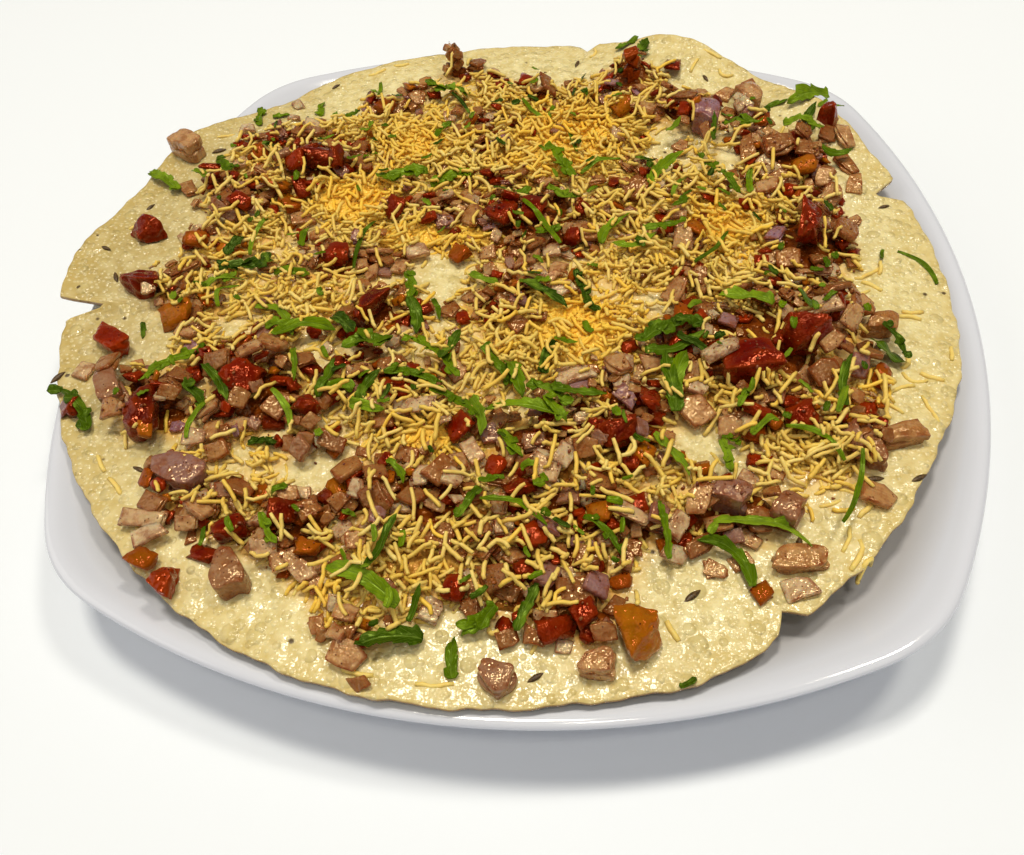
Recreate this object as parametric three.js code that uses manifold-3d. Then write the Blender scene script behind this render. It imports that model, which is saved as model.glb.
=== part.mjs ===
// Masala papad on its plate: a fried lentil wafer lies on a soft-square plate and carries a thin heap of
// onion, tomato, coriander leaf and fried gram noodles. Millimetres, +Z up. The origin is the middle of
// the plate's foot, and the plate's sides face along X and Y.
import * as THREE from 'three';
import { mergeVertices } from 'three/addons/utils/BufferGeometryUtils.js';
import Module from 'manifold-3d';

const wasm = await Module();
wasm.setup();

// Driving dimensions
const PLATE = {
  half: 125,
  rim: 24,
  sideRadius: 204,
  cornerRadius: 37,
  cornerRise: 1.6,
  sideSteps: 10,
  cornerSteps: 6,
};
const PAPAD = { x: -4.8, y: 1, radius: 123.5, thick: 1.2, rest: 2.1, crown: 1.2, sectors: 72 };
const HEAP = { radius: 103, bed: 1.5, lump: 0.8, clear: 0.95, sectors: 60 };
const GAP = 0.35;
const SEV = { thick: 1.05, sag: 0.8, shortest: 5, longest: 13, steps: 3, count: 70 };
const DICE = { smallest: 4.2, largest: 7.6, count: 66 };
const LEAF = { thick: 0.5, wave: 0.5, droop: 3, clear: 0.5, steps: 6 };
const SEED = { long: 4.6, wide: 1.1, tall: 0.9 };
const ROUND = 2 * Math.PI;
const GOLDEN_ANGLE = Math.PI * (3 - Math.sqrt(5));

// The papad's torn places: angle round its middle, how deep the tear runs in from the edge, half its
// width in degrees, and how much higher the edge stands on the side of the larger angle.
const TEARS = [
  { at: -170, depth: 13, half: 1.3, step: -3.4 },
  { at: 20, depth: 8, half: 1.6, step: 3.6 },
  { at: 81, depth: 4, half: 1.6, step: -1.5 },
  { at: -54, depth: 3.5, half: 1.8, step: 0.6 },
];

// How the papad's edge swells outwards (by) over a spread of degrees, and where it lifts.
const EDGE_SWELLS = [
  { at: -177, by: 2.5, spread: 7 },
  { at: 154, by: 2.5, spread: 8 },
  { at: 137, by: -3, spread: 6 },
  { at: 105, by: -2, spread: 14 },
  { at: 62, by: 2.5, spread: 10 },
  { at: -28, by: -1.5, spread: 9 },
  { at: -64, by: 2.6, spread: 8 },
  { at: -132, by: -1.4, spread: 18 },
];
const EDGE_LIFTS = [
  { at: 179, by: 4.6, spread: 17 },
  { at: 152, by: 4.2, spread: 9 },
  { at: 66, by: 8, spread: 9 },
  { at: 38, by: 6.5, spread: 9 },
  { at: 52, by: 1.5, spread: 8 },
  { at: 4, by: -1.4, spread: 12 },
  { at: -36, by: 1.8, spread: 14 },
  { at: -128, by: 1.2, spread: 18 },
];

// The heap's outline on the papad, as lobes and bays of its mean radius.
const HEAP_LOBES = [
  { at: -2, by: -9, spread: 9 },
  { at: 38, by: 6, spread: 9 },
  { at: 58, by: -9, spread: 6 },
  { at: 72, by: 7, spread: 6 },
  { at: 88, by: -11, spread: 7 },
  { at: 105, by: 5, spread: 5 },
  { at: 118, by: -7, spread: 7 },
  { at: 148, by: 5, spread: 8 },
  { at: 178, by: -9, spread: 7 },
  { at: -163, by: -17, spread: 6 },
  { at: -147, by: 6, spread: 7 },
  { at: -128, by: 5, spread: 7 },
  { at: -99, by: 11, spread: 6 },
  { at: -75, by: 9, spread: 7 },
  { at: -61, by: -10, spread: 5 },
  { at: -38, by: 8, spread: 12 },
];

// Mounds of the heap: place, spread and height over the papad.
const MOUNDS = [
  { x: -60, y: 42, spread: 20, tall: 2.6 },
  { x: -5, y: 55, spread: 26, tall: 3.2 },
  { x: 0, y: 18, spread: 18, tall: 2.6 },
  { x: 78, y: 48, spread: 13, tall: 4 },
  { x: 88, y: 70, spread: 9, tall: 3.5 },
  { x: 31, y: 99, spread: 9, tall: 5 },
  { x: -33, y: 101, spread: 7, tall: 5.5 },
  { x: -12, y: 88, spread: 10, tall: 2.5 },
  { x: -84, y: 52, spread: 16, tall: 2.2 },
  { x: -58, y: -5, spread: 20, tall: 2.6 },
  { x: -94, y: -52, spread: 11, tall: 3 },
  { x: -58, y: -50, spread: 14, tall: 2.6 },
  { x: -28, y: -36, spread: 18, tall: 2.6 },
  { x: 10, y: -50, spread: 20, tall: 3.2 },
  { x: 68, y: -26, spread: 16, tall: 4.4 },
  { x: 80, y: 12, spread: 13, tall: 3.6 },
  { x: -14, y: -92, spread: 20, tall: 3.2 },
  { x: 24, y: -96, spread: 13, tall: 3 },
  { x: 62, y: -76, spread: 11, tall: 2 },
  { x: 44, y: 74, spread: 12, tall: 2 },
];

// Patches where the papad shows through the heap: place, half sizes and turn in degrees.
const BARE_PATCHES = [
  { x: 43, y: 62, long: 10, wide: 4.5, turn: 85 },
  { x: 62, y: 53, long: 6.5, wide: 3.5, turn: 80 },
  { x: -20, y: 1, long: 9, wide: 7, turn: 120 },
  { x: 40, y: -9, long: 8, wide: 5.5, turn: -40 },
  { x: 51, y: -57, long: 7.5, wide: 6, turn: 10 },
  { x: -38, y: -70, long: 9, wide: 5.5, turn: -15 },
  { x: -62, y: -67, long: 8, wide: 4.5, turn: 20 },
  { x: -78, y: -27, long: 7, wide: 5, turn: -35 },
];

// Large tomato and onion pieces, each by place, length, width, height and turn in degrees.
const TOMATO_PIECES = [
  { x: -113, y: 10, long: 11, wide: 9, tall: 5.5, turn: -30 },
  { x: -106, y: -12, long: 14, wide: 10, tall: 6, turn: 15 },
  { x: -108, y: -32, long: 15, wide: 7, tall: 5, turn: -28 },
  { x: -88, y: -57, long: 16, wide: 10, tall: 6, turn: -62 },
  { x: -64, y: -46, long: 12, wide: 9, tall: 5.5, turn: 70 },
  { x: -46, y: -55, long: 8, wide: 6, tall: 5, turn: -35 },
  { x: -56, y: -88, long: 8.5, wide: 7, tall: 5, turn: 30 },
  { x: -66, y: -101, long: 8, wide: 7, tall: 5.5, turn: 60 },
  { x: 61, y: -36, long: 15, wide: 11, tall: 7, turn: 20 },
  { x: 75, y: -25, long: 14, wide: 9, tall: 7.5, turn: 28 },
  { x: 85, y: -16, long: 10, wide: 7, tall: 6.5, turn: 75 },
  { x: 81, y: 17, long: 15, wide: 9, tall: 7, turn: 72 },
  { x: 94, y: 72, long: 11, wide: 9, tall: 6.5, turn: 50 },
  { x: 36, y: -105, long: 12, wide: 10, tall: 8, turn: -70 },
  { x: 30, y: -57, long: 11, wide: 8, tall: 5.5, turn: 20 },
  { x: 30, y: 94, long: 9, wide: 7, tall: 7, turn: 80 },
  { x: -66, y: 44, long: 12, wide: 8, tall: 5, turn: 30 },
  { x: -37, y: -18, long: 12, wide: 8, tall: 5, turn: 75 },
];
const ONION_PIECES = [
  { x: 54, y: 70, long: 12, wide: 9, tall: 5.5, turn: 80 },
  { x: 68, y: 83, long: 11, wide: 7, tall: 5.5, turn: 115 },
  { x: -73, y: -74, long: 14, wide: 9, tall: 5, turn: -22 },
  { x: -53, y: -98, long: 11, wide: 8, tall: 6.5, turn: -75 },
  { x: -100, y: -49, long: 12, wide: 8, tall: 5, turn: -65 },
  { x: -113, y: 50, long: 12, wide: 8, tall: 6, turn: -30 },
  { x: 70, y: -85, long: 13, wide: 6, tall: 3.5, turn: 8 },
  { x: 96, y: -51, long: 12, wide: 6, tall: 4, turn: 14 },
  { x: 97, y: -15, long: 9, wide: 7, tall: 3.5, turn: -8 },
  { x: 55, y: -72, long: 10, wide: 6, tall: 5, turn: -14 },
  { x: 68, y: -74, long: 8, wide: 7, tall: 4.5, turn: 60 },
  { x: 8, y: -116, long: 8, wide: 6.5, tall: 5, turn: -30 },
  { x: 28, y: -112, long: 9, wide: 6, tall: 5, turn: 10 },
  { x: 88, y: -56, long: 11, wide: 5, tall: 4, turn: 105 },
  { x: -33, y: 103, long: 9, wide: 8, tall: 9, turn: 20 },
];

// Coriander leaf and shreds, each by place, length, greatest width, turn and sideways bow.
const LEAF_PIECES = [
  { x: -110, y: -55, long: 20, wide: 5.5, turn: -44, bow: 2 },
  { x: -15, y: -111, long: 14, wide: 5.5, turn: 12, bow: 1 },
  { x: 3, y: -105, long: 9, wide: 6.5, turn: 40, bow: 0 },
  { x: -23, y: -100, long: 20, wide: 4, turn: -24, bow: 1.5 },
  { x: -86, y: -41, long: 19, wide: 4.5, turn: 43, bow: 1 },
  { x: -35, y: -32, long: 13, wide: 8, turn: 5, bow: 0 },
  { x: -18, y: -36, long: 20, wide: 5, turn: -38, bow: 2 },
  { x: 8, y: -53, long: 20, wide: 5.5, turn: -4, bow: 1.5 },
  { x: 14, y: -46, long: 12, wide: 6, turn: -32, bow: 0 },
  { x: 45, y: -38, long: 16, wide: 4.5, turn: 78, bow: 1 },
  { x: 44, y: -22, long: 14, wide: 6, turn: 14, bow: 1 },
  { x: 62, y: -12, long: 14, wide: 5, turn: -12, bow: 1.5 },
  { x: 57, y: 43, long: 21, wide: 4.5, turn: -56, bow: 1 },
  { x: 42, y: 44, long: 21, wide: 3.5, turn: 60, bow: 2 },
  { x: 65, y: 66, long: 12, wide: 7.5, turn: -10, bow: 1 },
  { x: 87, y: 81, long: 16, wide: 6, turn: 28, bow: 1 },
  { x: 10, y: 44, long: 17, wide: 6, turn: -62, bow: 0 },
  { x: 54, y: -87.5, long: 15, wide: 3.5, turn: -38, bow: 4 },
  { x: -32, y: 85, long: 16, wide: 7, turn: -20, bow: 1 },
  { x: -38, y: 38, long: 14, wide: 7, turn: 24, bow: 1 },
  { x: -117, y: 35, long: 15, wide: 6, turn: -30, bow: 1 },
  { x: 97, y: -24, long: 10, wide: 5, turn: -38, bow: 0 },
  { x: 33, y: 109, long: 12, wide: 6, turn: 68, bow: 0 },
];

// Loose bits on the bare papad: cumin seeds in its surface, noodles and a few onion dice.
const SEEDS = [
  { x: -117, y: 23, turn: 60 },
  { x: -124, y: 4, turn: -20 },
  { x: -84, y: -73, turn: -20 },
  { x: 47, y: -96, turn: 42 },
  { x: -73, y: 86, turn: 50 },
  { x: 11, y: 103, turn: 80 },
  { x: 104, y: 31, turn: 20 },
  { x: 16, y: -116, turn: 35 },
];
const LOOSE_SEV = [
  { x: 96, y: 2, long: 9, turn: 20 },
  { x: 102, y: -33, long: 7, turn: -20 },
  { x: 104, y: -43, long: 9, turn: -75 },
  { x: 105, y: -11, long: 6, turn: 5 },
  { x: 58, y: 112, long: 7, turn: -30 },
  { x: -60, y: 99, long: 7, turn: 35 },
  { x: 82, y: -84, long: 8, turn: 60 },
];
const LOOSE_DICE = [
  { x: 63, y: -101, size: 4.6, turn: 20 },
  { x: 105, y: -20, size: 4.4, turn: 70 },
  { x: -76, y: -97, size: 4.6, turn: -20 },
  { x: -40, y: -106, size: 5.2, turn: 15 },
  { x: 90, y: -68, size: 4.8, turn: 10 },
];

// Colours of the finishes
const FINISH = {
  plate: new THREE.MeshStandardMaterial({ color: 0xdedde4, roughness: 0.15 }),
  papad: new THREE.MeshStandardMaterial({ color: 0xe9ddab, roughness: 0.45 }),
  topping: new THREE.MeshStandardMaterial({ color: 0xcf9a4c, roughness: 0.5 }),
  tomato: new THREE.MeshStandardMaterial({ color: 0x8f1f10, roughness: 0.25 }),
  onion: new THREE.MeshStandardMaterial({ color: 0xc08a80, roughness: 0.3 }),
  leaf: new THREE.MeshStandardMaterial({ color: 0x3c7a26, roughness: 0.4 }),
};

const toRadians = THREE.MathUtils.degToRad;

// A seeded run of numbers between 0 and 1
function seededRandom(seed) {
  let state = seed;
  return () => {
    state = (state * 1664525 + 1013904223) % 4294967296;
    return state / 4294967296;
  };
}

// Degrees from one bearing to another, between -180 and 180
function turnBetween(from, to) {
  return ((((to - from) % 360) + 540) % 360) - 180;
}

function sumOfBumps(bumps, bearing) {
  return bumps.reduce(
    (sum, bump) => sum + bump.by * Math.exp(-((turnBetween(bump.at, bearing) / bump.spread) ** 2)),
    0,
  );
}

// Closed meshes, with shared corners merged, slivers dropped and the faces turned outwards

function closed(geometry) {
  geometry.deleteAttribute('normal');
  geometry.deleteAttribute('uv');
  const merged = mergeVertices(geometry, 1e-4);
  const index = [];
  for (let i = 0; i < merged.index.count; i += 3) {
    const [a, b, c] = [0, 1, 2].map((k) => merged.index.getX(i + k));
    if (a !== b && b !== c && c !== a) index.push(a, b, c);
  }
  if (signedVolume(merged.attributes.position, index) < 0) index.reverse();
  merged.setIndex(index);
  return merged;
}

function signedVolume(position, index) {
  const corners = [new THREE.Vector3(), new THREE.Vector3(), new THREE.Vector3()];
  let volume = 0;
  for (let i = 0; i < index.length; i += 3) {
    corners.forEach((corner, k) => corner.fromBufferAttribute(position, index[i + k]));
    volume += corners[0].dot(corners[1].clone().cross(corners[2])) / 6;
  }
  return volume;
}

function toSolid(geometry) {
  return new wasm.Manifold(
    new wasm.Mesh({
      numProp: 3,
      vertProperties: new Float32Array(geometry.attributes.position.array),
      triVerts: new Uint32Array(geometry.index.array),
    }),
  );
}

function fromSolid(solid) {
  const mesh = solid.simplify(0.01).getMesh();
  const geometry = new THREE.BufferGeometry();
  geometry.setAttribute('position', new THREE.BufferAttribute(mesh.vertProperties, 3));
  geometry.setIndex(new THREE.BufferAttribute(mesh.triVerts, 1));
  return geometry;
}

// The largest body that a join or cut leaves, so that no scrap stays in a node
function mainBody(solid) {
  return solid.decompose().reduce((best, body) => (body.volume() > best.volume() ? body : best));
}

// A turned profile whose every point is then put where place(sector, step) says
function turnedShell(profile, sectors, place) {
  const geometry = new THREE.LatheGeometry(profile, sectors);
  const position = geometry.attributes.position;
  for (let i = 0; i < position.count; i++) {
    const sector = Math.floor(i / profile.length) % sectors;
    const point = place(sector, i % profile.length);
    position.setXYZ(i, point.x, point.y, point.z);
  }
  return closed(geometry);
}

// Height of the uppermost of some meshes at x, y, or null beside them
const ray = new THREE.Raycaster();
const down = new THREE.Vector3(0, 0, -1);

function topOf(meshes, x, y) {
  ray.set(new THREE.Vector3(x, y, 200), down);
  const hit = ray.intersectObjects(meshes)[0];
  return hit ? hit.point.z : null;
}

// Plate

// The outline in the plane of the rim: four long side arcs, with a corner arc between each two
function plateOutline() {
  const reach = PLATE.sideRadius - PLATE.half;
  const between = PLATE.sideRadius - PLATE.cornerRadius;
  const corner = (-reach + Math.sqrt(2 * between * between - reach * reach)) / 2;
  const sideTurn = Math.atan2(corner, corner + reach);
  const points = [];
  for (let quarter = 0; quarter < 4; quarter++) {
    const turn = (quarter * Math.PI) / 2;
    for (let i = 0; i < PLATE.sideSteps; i++) {
      const angle = sideTurn * ((2 * i) / PLATE.sideSteps - 1);
      points.push(arcPoint(-reach, 0, PLATE.sideRadius, angle, turn));
    }
    for (let i = 0; i < PLATE.cornerSteps; i++) {
      const angle = sideTurn + (Math.PI / 2 - 2 * sideTurn) * (i / PLATE.cornerSteps);
      points.push(arcPoint(corner, corner, PLATE.cornerRadius, angle, turn));
    }
  }
  return points;
}

function arcPoint(x, y, radius, angle, turn) {
  const point = new THREE.Vector2(x + radius * Math.cos(angle), y + radius * Math.sin(angle));
  return point.rotateAround(new THREE.Vector2(0, 0), turn);
}

// Share of the half width against height, from the middle of the foot out under the wall, round the lip
// and back down the inside to the middle of the well
const PLATE_PROFILE = [
  [0, 0],
  [0.6, 0],
  [0.63, 1.2],
  [0.68, 2.4],
  [0.77, 6.6],
  [0.95, 19.2],
  [0.99, 21.2],
  [1, 22.4],
  [0.998, 23.4],
  [0.988, 24],
  [0.972, 23.7],
  [0.95, 22],
  [0.87, 15.8],
  [0.77, 9.8],
  [0.68, 6],
  [0.58, 4],
  [0, 4],
].map(([share, height]) => new THREE.Vector2(share, height));

function makePlate() {
  const outline = plateOutline();
  const cornerReach = Math.max(...outline.map((edge) => edge.length()));
  return turnedShell(PLATE_PROFILE, outline.length, (sector, step) => {
    const { x: share, y: height } = PLATE_PROFILE[step];
    const edge = outline[sector];
    const corner = (edge.length() - PLATE.half) / (cornerReach - PLATE.half);
    const rise = height > 0 ? PLATE.cornerRise * corner * share ** 4 : 0;
    return new THREE.Vector3(edge.x * share, edge.y * share, height + rise);
  });
}

// Papad

function papadRadius(bearing) {
  const cut = TEARS.reduce((deepest, tear) => {
    const off = Math.abs(turnBetween(tear.at, bearing)) / tear.half;
    return Math.max(deepest, tear.depth * Math.max(0, 1 - off));
  }, 0);
  return PAPAD.radius + sumOfBumps(EDGE_SWELLS, bearing) - cut;
}

function papadLift(bearing) {
  const steps = TEARS.reduce((sum, tear) => {
    const off = turnBetween(tear.at, bearing);
    const side = THREE.MathUtils.clamp(off / tear.half, -1, 1) / 2;
    return sum + tear.step * side * Math.exp(-Math.abs(off) / 14);
  }, 0);
  return sumOfBumps(EDGE_LIFTS, bearing) + steps;
}

// Height of the papad's middle surface
function papadHeight(x, y) {
  const bearing = THREE.MathUtils.radToDeg(Math.atan2(y - PAPAD.y, x - PAPAD.x));
  const share = Math.hypot(x - PAPAD.x, y - PAPAD.y) / papadRadius(bearing);
  const wave = 0.7 * Math.sin(x / 16 + 0.6) * Math.sin(y / 19 - 0.4) + 0.35 * Math.sin((x + 1.4 * y) / 11);
  const crown = PAPAD.crown * (1 - share * share);
  return PLATE.rim + PAPAD.rest + crown + wave * (1 - 0.4 * share) + papadLift(bearing) * share ** 4;
}

// Bearings of the papad's spokes: even, with closer ones at each tear
function papadBearings() {
  const step = 360 / PAPAD.sectors;
  const even = Array.from({ length: PAPAD.sectors }, (_, i) => -180 + i * step);
  const clear = even.filter((a) => TEARS.every((tear) => Math.abs(turnBetween(tear.at, a)) > step * 0.8));
  const close = TEARS.flatMap((tear) => [-1, 0, 1].map((side) => tear.at + side * tear.half));
  return [...clear, ...close].sort((a, b) => a - b);
}

const PAPAD_SHARES = [0, 0.22, 0.42, 0.6, 0.74, 0.84, 0.92, 1];

function makePapad() {
  const bearings = papadBearings();
  const upper = PAPAD_SHARES.map((share) => new THREE.Vector2(share, PAPAD.thick / 2));
  const lower = PAPAD_SHARES.map((share) => new THREE.Vector2(share, -PAPAD.thick / 2)).reverse();
  const profile = [...upper, ...lower];
  return turnedShell(profile, bearings.length, (sector, step) => {
    const { x: share, y: side } = profile[step];
    const bearing = bearings[sector];
    const reach = share * papadRadius(bearing);
    const x = PAPAD.x + reach * Math.cos(toRadians(bearing));
    const y = PAPAD.y + reach * Math.sin(toRadians(bearing));
    return new THREE.Vector3(x, y, papadHeight(x, y) + side);
  });
}

// A cumin seed, long and pointed, half sunk in what it lies on
function makeSeed({ x, y, turn }, ground) {
  const seed = new THREE.OctahedronGeometry(0.5, 0);
  seed.scale(SEED.long, SEED.wide, SEED.tall);
  seed.rotateZ(toRadians(turn));
  seed.translate(x, y, ground(x, y));
  return closed(seed);
}

// A fried gram noodle: a thin four-sided strand that bends over what it lies on
function makeSev({ x, y, long, turn, bow = 1 }, ground, sink) {
  const along = new THREE.Vector2(Math.cos(toRadians(turn)), Math.sin(toRadians(turn)));
  const points = [];
  for (let i = 0; i <= SEV.steps; i++) {
    const share = i / SEV.steps - 0.5;
    const side = bow * (0.25 - share * share) * 4;
    const px = x + along.x * share * long - along.y * side;
    const py = y + along.y * share * long + along.x * side;
    points.push(new THREE.Vector3(px, py, ground(px, py)));
  }
  const highest = Math.max(...points.map((point) => point.z));
  points.forEach((point) => {
    point.z = Math.max(point.z, highest - SEV.sag) + SEV.thick / 2 - sink;
  });
  const half = SEV.thick / 2;
  const section = new THREE.Shape([
    new THREE.Vector2(-half, -half),
    new THREE.Vector2(half, -half),
    new THREE.Vector2(half, half),
    new THREE.Vector2(-half, half),
  ]);
  const strand = new THREE.ExtrudeGeometry(section, {
    steps: SEV.steps,
    bevelEnabled: false,
    extrudePath: new THREE.CatmullRomCurve3(points),
  });
  return closed(strand);
}

// An onion die: a box with uneven corners, sunk a little in what it lies on
function makeDie({ x, y, size, turn }, ground, sink, random) {
  const die = new THREE.BoxGeometry(size, size * 0.8, size * 0.7);
  const uneven = closed(die);
  const position = uneven.attributes.position;
  for (let i = 0; i < position.count; i++) {
    const pull = 0.72 + 0.28 * random();
    position.setXYZ(i, position.getX(i) * pull, position.getY(i) * pull, position.getZ(i));
  }
  uneven.rotateZ(toRadians(turn));
  uneven.rotateX(0.2 * (random() - 0.5));
  uneven.translate(x, y, ground(x, y) + size * 0.35 - sink);
  return uneven;
}

// Heap of topping

function heapRadius(bearing) {
  return HEAP.radius + sumOfBumps(HEAP_LOBES, bearing);
}

function heapDepth(x, y) {
  const mounds = MOUNDS.reduce((sum, mound) => {
    const off = Math.hypot(x - mound.x, y - mound.y) / mound.spread;
    return sum + mound.tall * Math.exp(-off * off);
  }, 0);
  const lumps = HEAP.lump * Math.sin(x / 3.1 + y / 7) * Math.sin(y / 3.7 - x / 9);
  return HEAP.bed + mounds + lumps;
}

const HEAP_SHARES = [0, 0.14, 0.28, 0.42, 0.56, 0.69, 0.81, 0.91, 1];

function makeHeapCore(papadMesh) {
  const upper = HEAP_SHARES.map((share) => new THREE.Vector2(share, 1));
  const lower = HEAP_SHARES.map((share) => new THREE.Vector2(share, 0)).reverse();
  const profile = [...upper, ...lower];
  const core = turnedShell(profile, HEAP.sectors, (sector, step) => {
    const { x: share, y: side } = profile[step];
    const bearing = (sector * 360) / HEAP.sectors;
    const reach = share * heapRadius(bearing);
    const x = PAPAD.x + reach * Math.cos(toRadians(bearing));
    const y = PAPAD.y + reach * Math.sin(toRadians(bearing));
    const foot = topOf([papadMesh], x, y) + HEAP.clear;
    const depth = share === 1 ? 0.6 : heapDepth(x, y);
    return new THREE.Vector3(x, y, foot + side * depth);
  });
  return BARE_PATCHES.reduce((solid, patch) => solid.subtract(makePatchCutter(patch)), toSolid(core));
}

// An upright plug with an uneven outline that opens a bare patch in the heap
function makePatchCutter({ x, y, long, wide, turn }) {
  const sides = 9;
  const outline = Array.from({ length: sides }, (_, i) => {
    const angle = (i / sides) * ROUND;
    const uneven = 1 + 0.16 * Math.sin(3 * angle + x);
    return new THREE.Vector2(long * uneven * Math.cos(angle), wide * uneven * Math.sin(angle));
  });
  const plug = new THREE.ExtrudeGeometry(new THREE.Shape(outline), { depth: 60, bevelEnabled: false });
  plug.rotateZ(toRadians(turn));
  plug.translate(x, y, 0);
  return toSolid(closed(plug));
}

// Room that a large piece needs round it, as circles along its length
function roomOf({ x, y, long, wide, turn }) {
  const along = new THREE.Vector2(Math.cos(toRadians(turn)), Math.sin(toRadians(turn)));
  const count = Math.max(1, Math.ceil(long / wide));
  return Array.from({ length: count }, (_, i) => {
    const off = ((i + 0.5) / count - 0.5) * long;
    return { x: x + along.x * off, y: y + along.y * off, radius: wide * 0.72 };
  });
}

function isClear(rooms, x, y, radius) {
  return rooms.every((room) => Math.hypot(room.x - x, room.y - y) > room.radius + radius + GAP);
}

// Even sites over the heap, by a sunflower spiral that is jittered
function heapSites(count, inset, random) {
  return Array.from({ length: count }, (_, i) => {
    const bearing = i * GOLDEN_ANGLE + 0.3 * (random() - 0.5);
    const reach = Math.sqrt((i + 0.5) / count) * (heapRadius(THREE.MathUtils.radToDeg(bearing)) - inset);
    const turn = 360 * random();
    return { x: PAPAD.x + reach * Math.cos(bearing), y: PAPAD.y + reach * Math.sin(bearing), turn };
  });
}

function makeHeap(core, coreMesh, rooms) {
  const random = seededRandom(11);
  const ground = (x, y) => topOf([coreMesh], x, y);
  const inPatch = (x, y, radius) => [0, 1, 2, 3].some((i) => {
    const angle = (i / 4) * ROUND;
    return ground(x + radius * Math.cos(angle), y + radius * Math.sin(angle)) === null;
  });
  const pieces = [];
  for (const site of heapSites(DICE.count, 5, random)) {
    const size = DICE.smallest + (DICE.largest - DICE.smallest) * random();
    if (isClear(rooms, site.x, site.y, size * 0.66) && !inPatch(site.x, site.y, size * 0.5)) {
      pieces.push(makeDie({ ...site, size }, ground, 0.5, random));
    }
  }
  for (const site of heapSites(SEV.count, 9, random)) {
    const long = SEV.shortest + (SEV.longest - SEV.shortest) * random();
    const strand = { ...site, long, bow: 3 * (random() - 0.5) };
    if (isClear(rooms, site.x, site.y, long * 0.5) && !inPatch(site.x, site.y, long * 0.6)) {
      pieces.push(makeSev(strand, ground, 0.25));
    }
  }
  return mainBody(pieces.reduce((solid, piece) => solid.add(toSolid(piece)), core));
}

// Large pieces

// A chunk with uneven flat sides, laid on the highest ground under it
function makeChunk({ x, y, long, wide, tall, turn }, ground, random, shape) {
  const chunk = closed(shape);
  chunk.computeBoundingBox();
  const size = chunk.boundingBox.getSize(new THREE.Vector3());
  chunk.scale(long / size.x, wide / size.y, tall / size.z);
  const position = chunk.attributes.position;
  for (let i = 0; i < position.count; i++) {
    const pull = 0.86 + 0.14 * random();
    position.setXYZ(i, position.getX(i) * pull, position.getY(i) * pull, position.getZ(i) * pull);
  }
  chunk.rotateZ(toRadians(turn));
  const footprint = [0, 0.4, 0.8, 1.15].flatMap((share) =>
    Array.from({ length: 16 }, (_, i) => {
      const angle = (i / 16) * ROUND;
      const spot = new THREE.Vector2(Math.cos(angle) * long, Math.sin(angle) * wide);
      return spot.multiplyScalar(share / 2).rotateAround(new THREE.Vector2(0, 0), toRadians(turn));
    }),
  );
  const seat = Math.max(...footprint.map((spot) => ground(x + spot.x, y + spot.y)));
  chunk.computeBoundingBox();
  chunk.translate(x, y, seat + 1.6 * GAP - chunk.boundingBox.min.z);
  return chunk;
}

// A leaf strip: a thin wavy sheet, pointed at both ends, with both faces split into triangles alike
function makeLeaf({ x, y, long, wide, turn, bow }, ground) {
  const sheet = new THREE.PlaneGeometry(1, 1, LEAF.steps, 1);
  const position = sheet.attributes.position;
  const along = new THREE.Vector2(Math.cos(toRadians(turn)), Math.sin(toRadians(turn)));
  for (let i = 0; i < position.count; i++) {
    const share = position.getX(i);
    const spread = 0.25 + 0.75 * Math.cos(share * Math.PI) ** 0.7;
    const side = position.getY(i) * wide * spread + bow * (1 - 4 * share * share);
    const px = x + along.x * share * long - along.y * side;
    const py = y + along.y * share * long + along.x * side;
    const wave = LEAF.wave * Math.sin(share * 9 + x);
    const near = [[0, 0], [2.4, 0], [-2.4, 0], [0, 2.4], [0, -2.4]].map(([dx, dy]) => ground(px + dx, py + dy));
    position.setXYZ(i, px, py, Math.max(...near) + wave);
  }
  const count = position.count;
  const heights = Array.from({ length: count }, (_, i) => position.getZ(i));
  const lowest = Math.max(...heights) - LEAF.droop;
  const points = [];
  for (const side of [1, -1]) {
    for (let i = 0; i < count; i++) {
      const lift = GAP + LEAF.wave + LEAF.thick / 2 + LEAF.clear + (side * LEAF.thick) / 2;
      points.push(position.getX(i), position.getY(i), Math.max(heights[i], lowest) + lift);
    }
  }
  const upper = Array.from(sheet.index.array);
  const lower = upper.map((corner) => corner + count).reverse();
  const columns = LEAF.steps + 1;
  const border = [
    ...Array.from({ length: columns }, (_, i) => i),
    ...Array.from({ length: columns }, (_, i) => 2 * columns - 1 - i),
  ];
  const walls = border.flatMap((corner, i) => {
    const next = border[(i + 1) % border.length];
    return [corner, next, next + count, corner, next + count, corner + count];
  });
  const leaf = new THREE.BufferGeometry();
  leaf.setAttribute('position', new THREE.Float32BufferAttribute(points, 3));
  leaf.setIndex([...upper, ...lower, ...walls]);
  return closed(leaf);
}

// The whole

function namedMesh(name, geometry, material) {
  const mesh = new THREE.Mesh(geometry, material);
  mesh.name = name;
  return mesh;
}

const plate = namedMesh('plate', makePlate(), FINISH.plate);
const barePapad = namedMesh('bare_papad', makePapad(), FINISH.papad);
const core = makeHeapCore(barePapad);
const coreMesh = namedMesh('bare_core', fromSolid(core), FINISH.topping);

const rooms = [...TOMATO_PIECES, ...ONION_PIECES, ...LEAF_PIECES].flatMap(roomOf);
const onPapad = (x, y) => topOf([barePapad], x, y);
const onHeap = (x, y) => topOf([plate, barePapad, coreMesh], x, y) ?? PLATE.rim;

const papadBits = [
  ...SEEDS.map((seed) => makeSeed(seed, onPapad)),
  ...LOOSE_SEV.map((strand) => makeSev(strand, onPapad, 0.3)),
  ...LOOSE_DICE.map((die) => makeDie(die, onPapad, 0.5, seededRandom(5))),
];
const papad = papadBits.reduce((solid, bit) => solid.add(toSolid(bit)), toSolid(barePapad.geometry));

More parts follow.
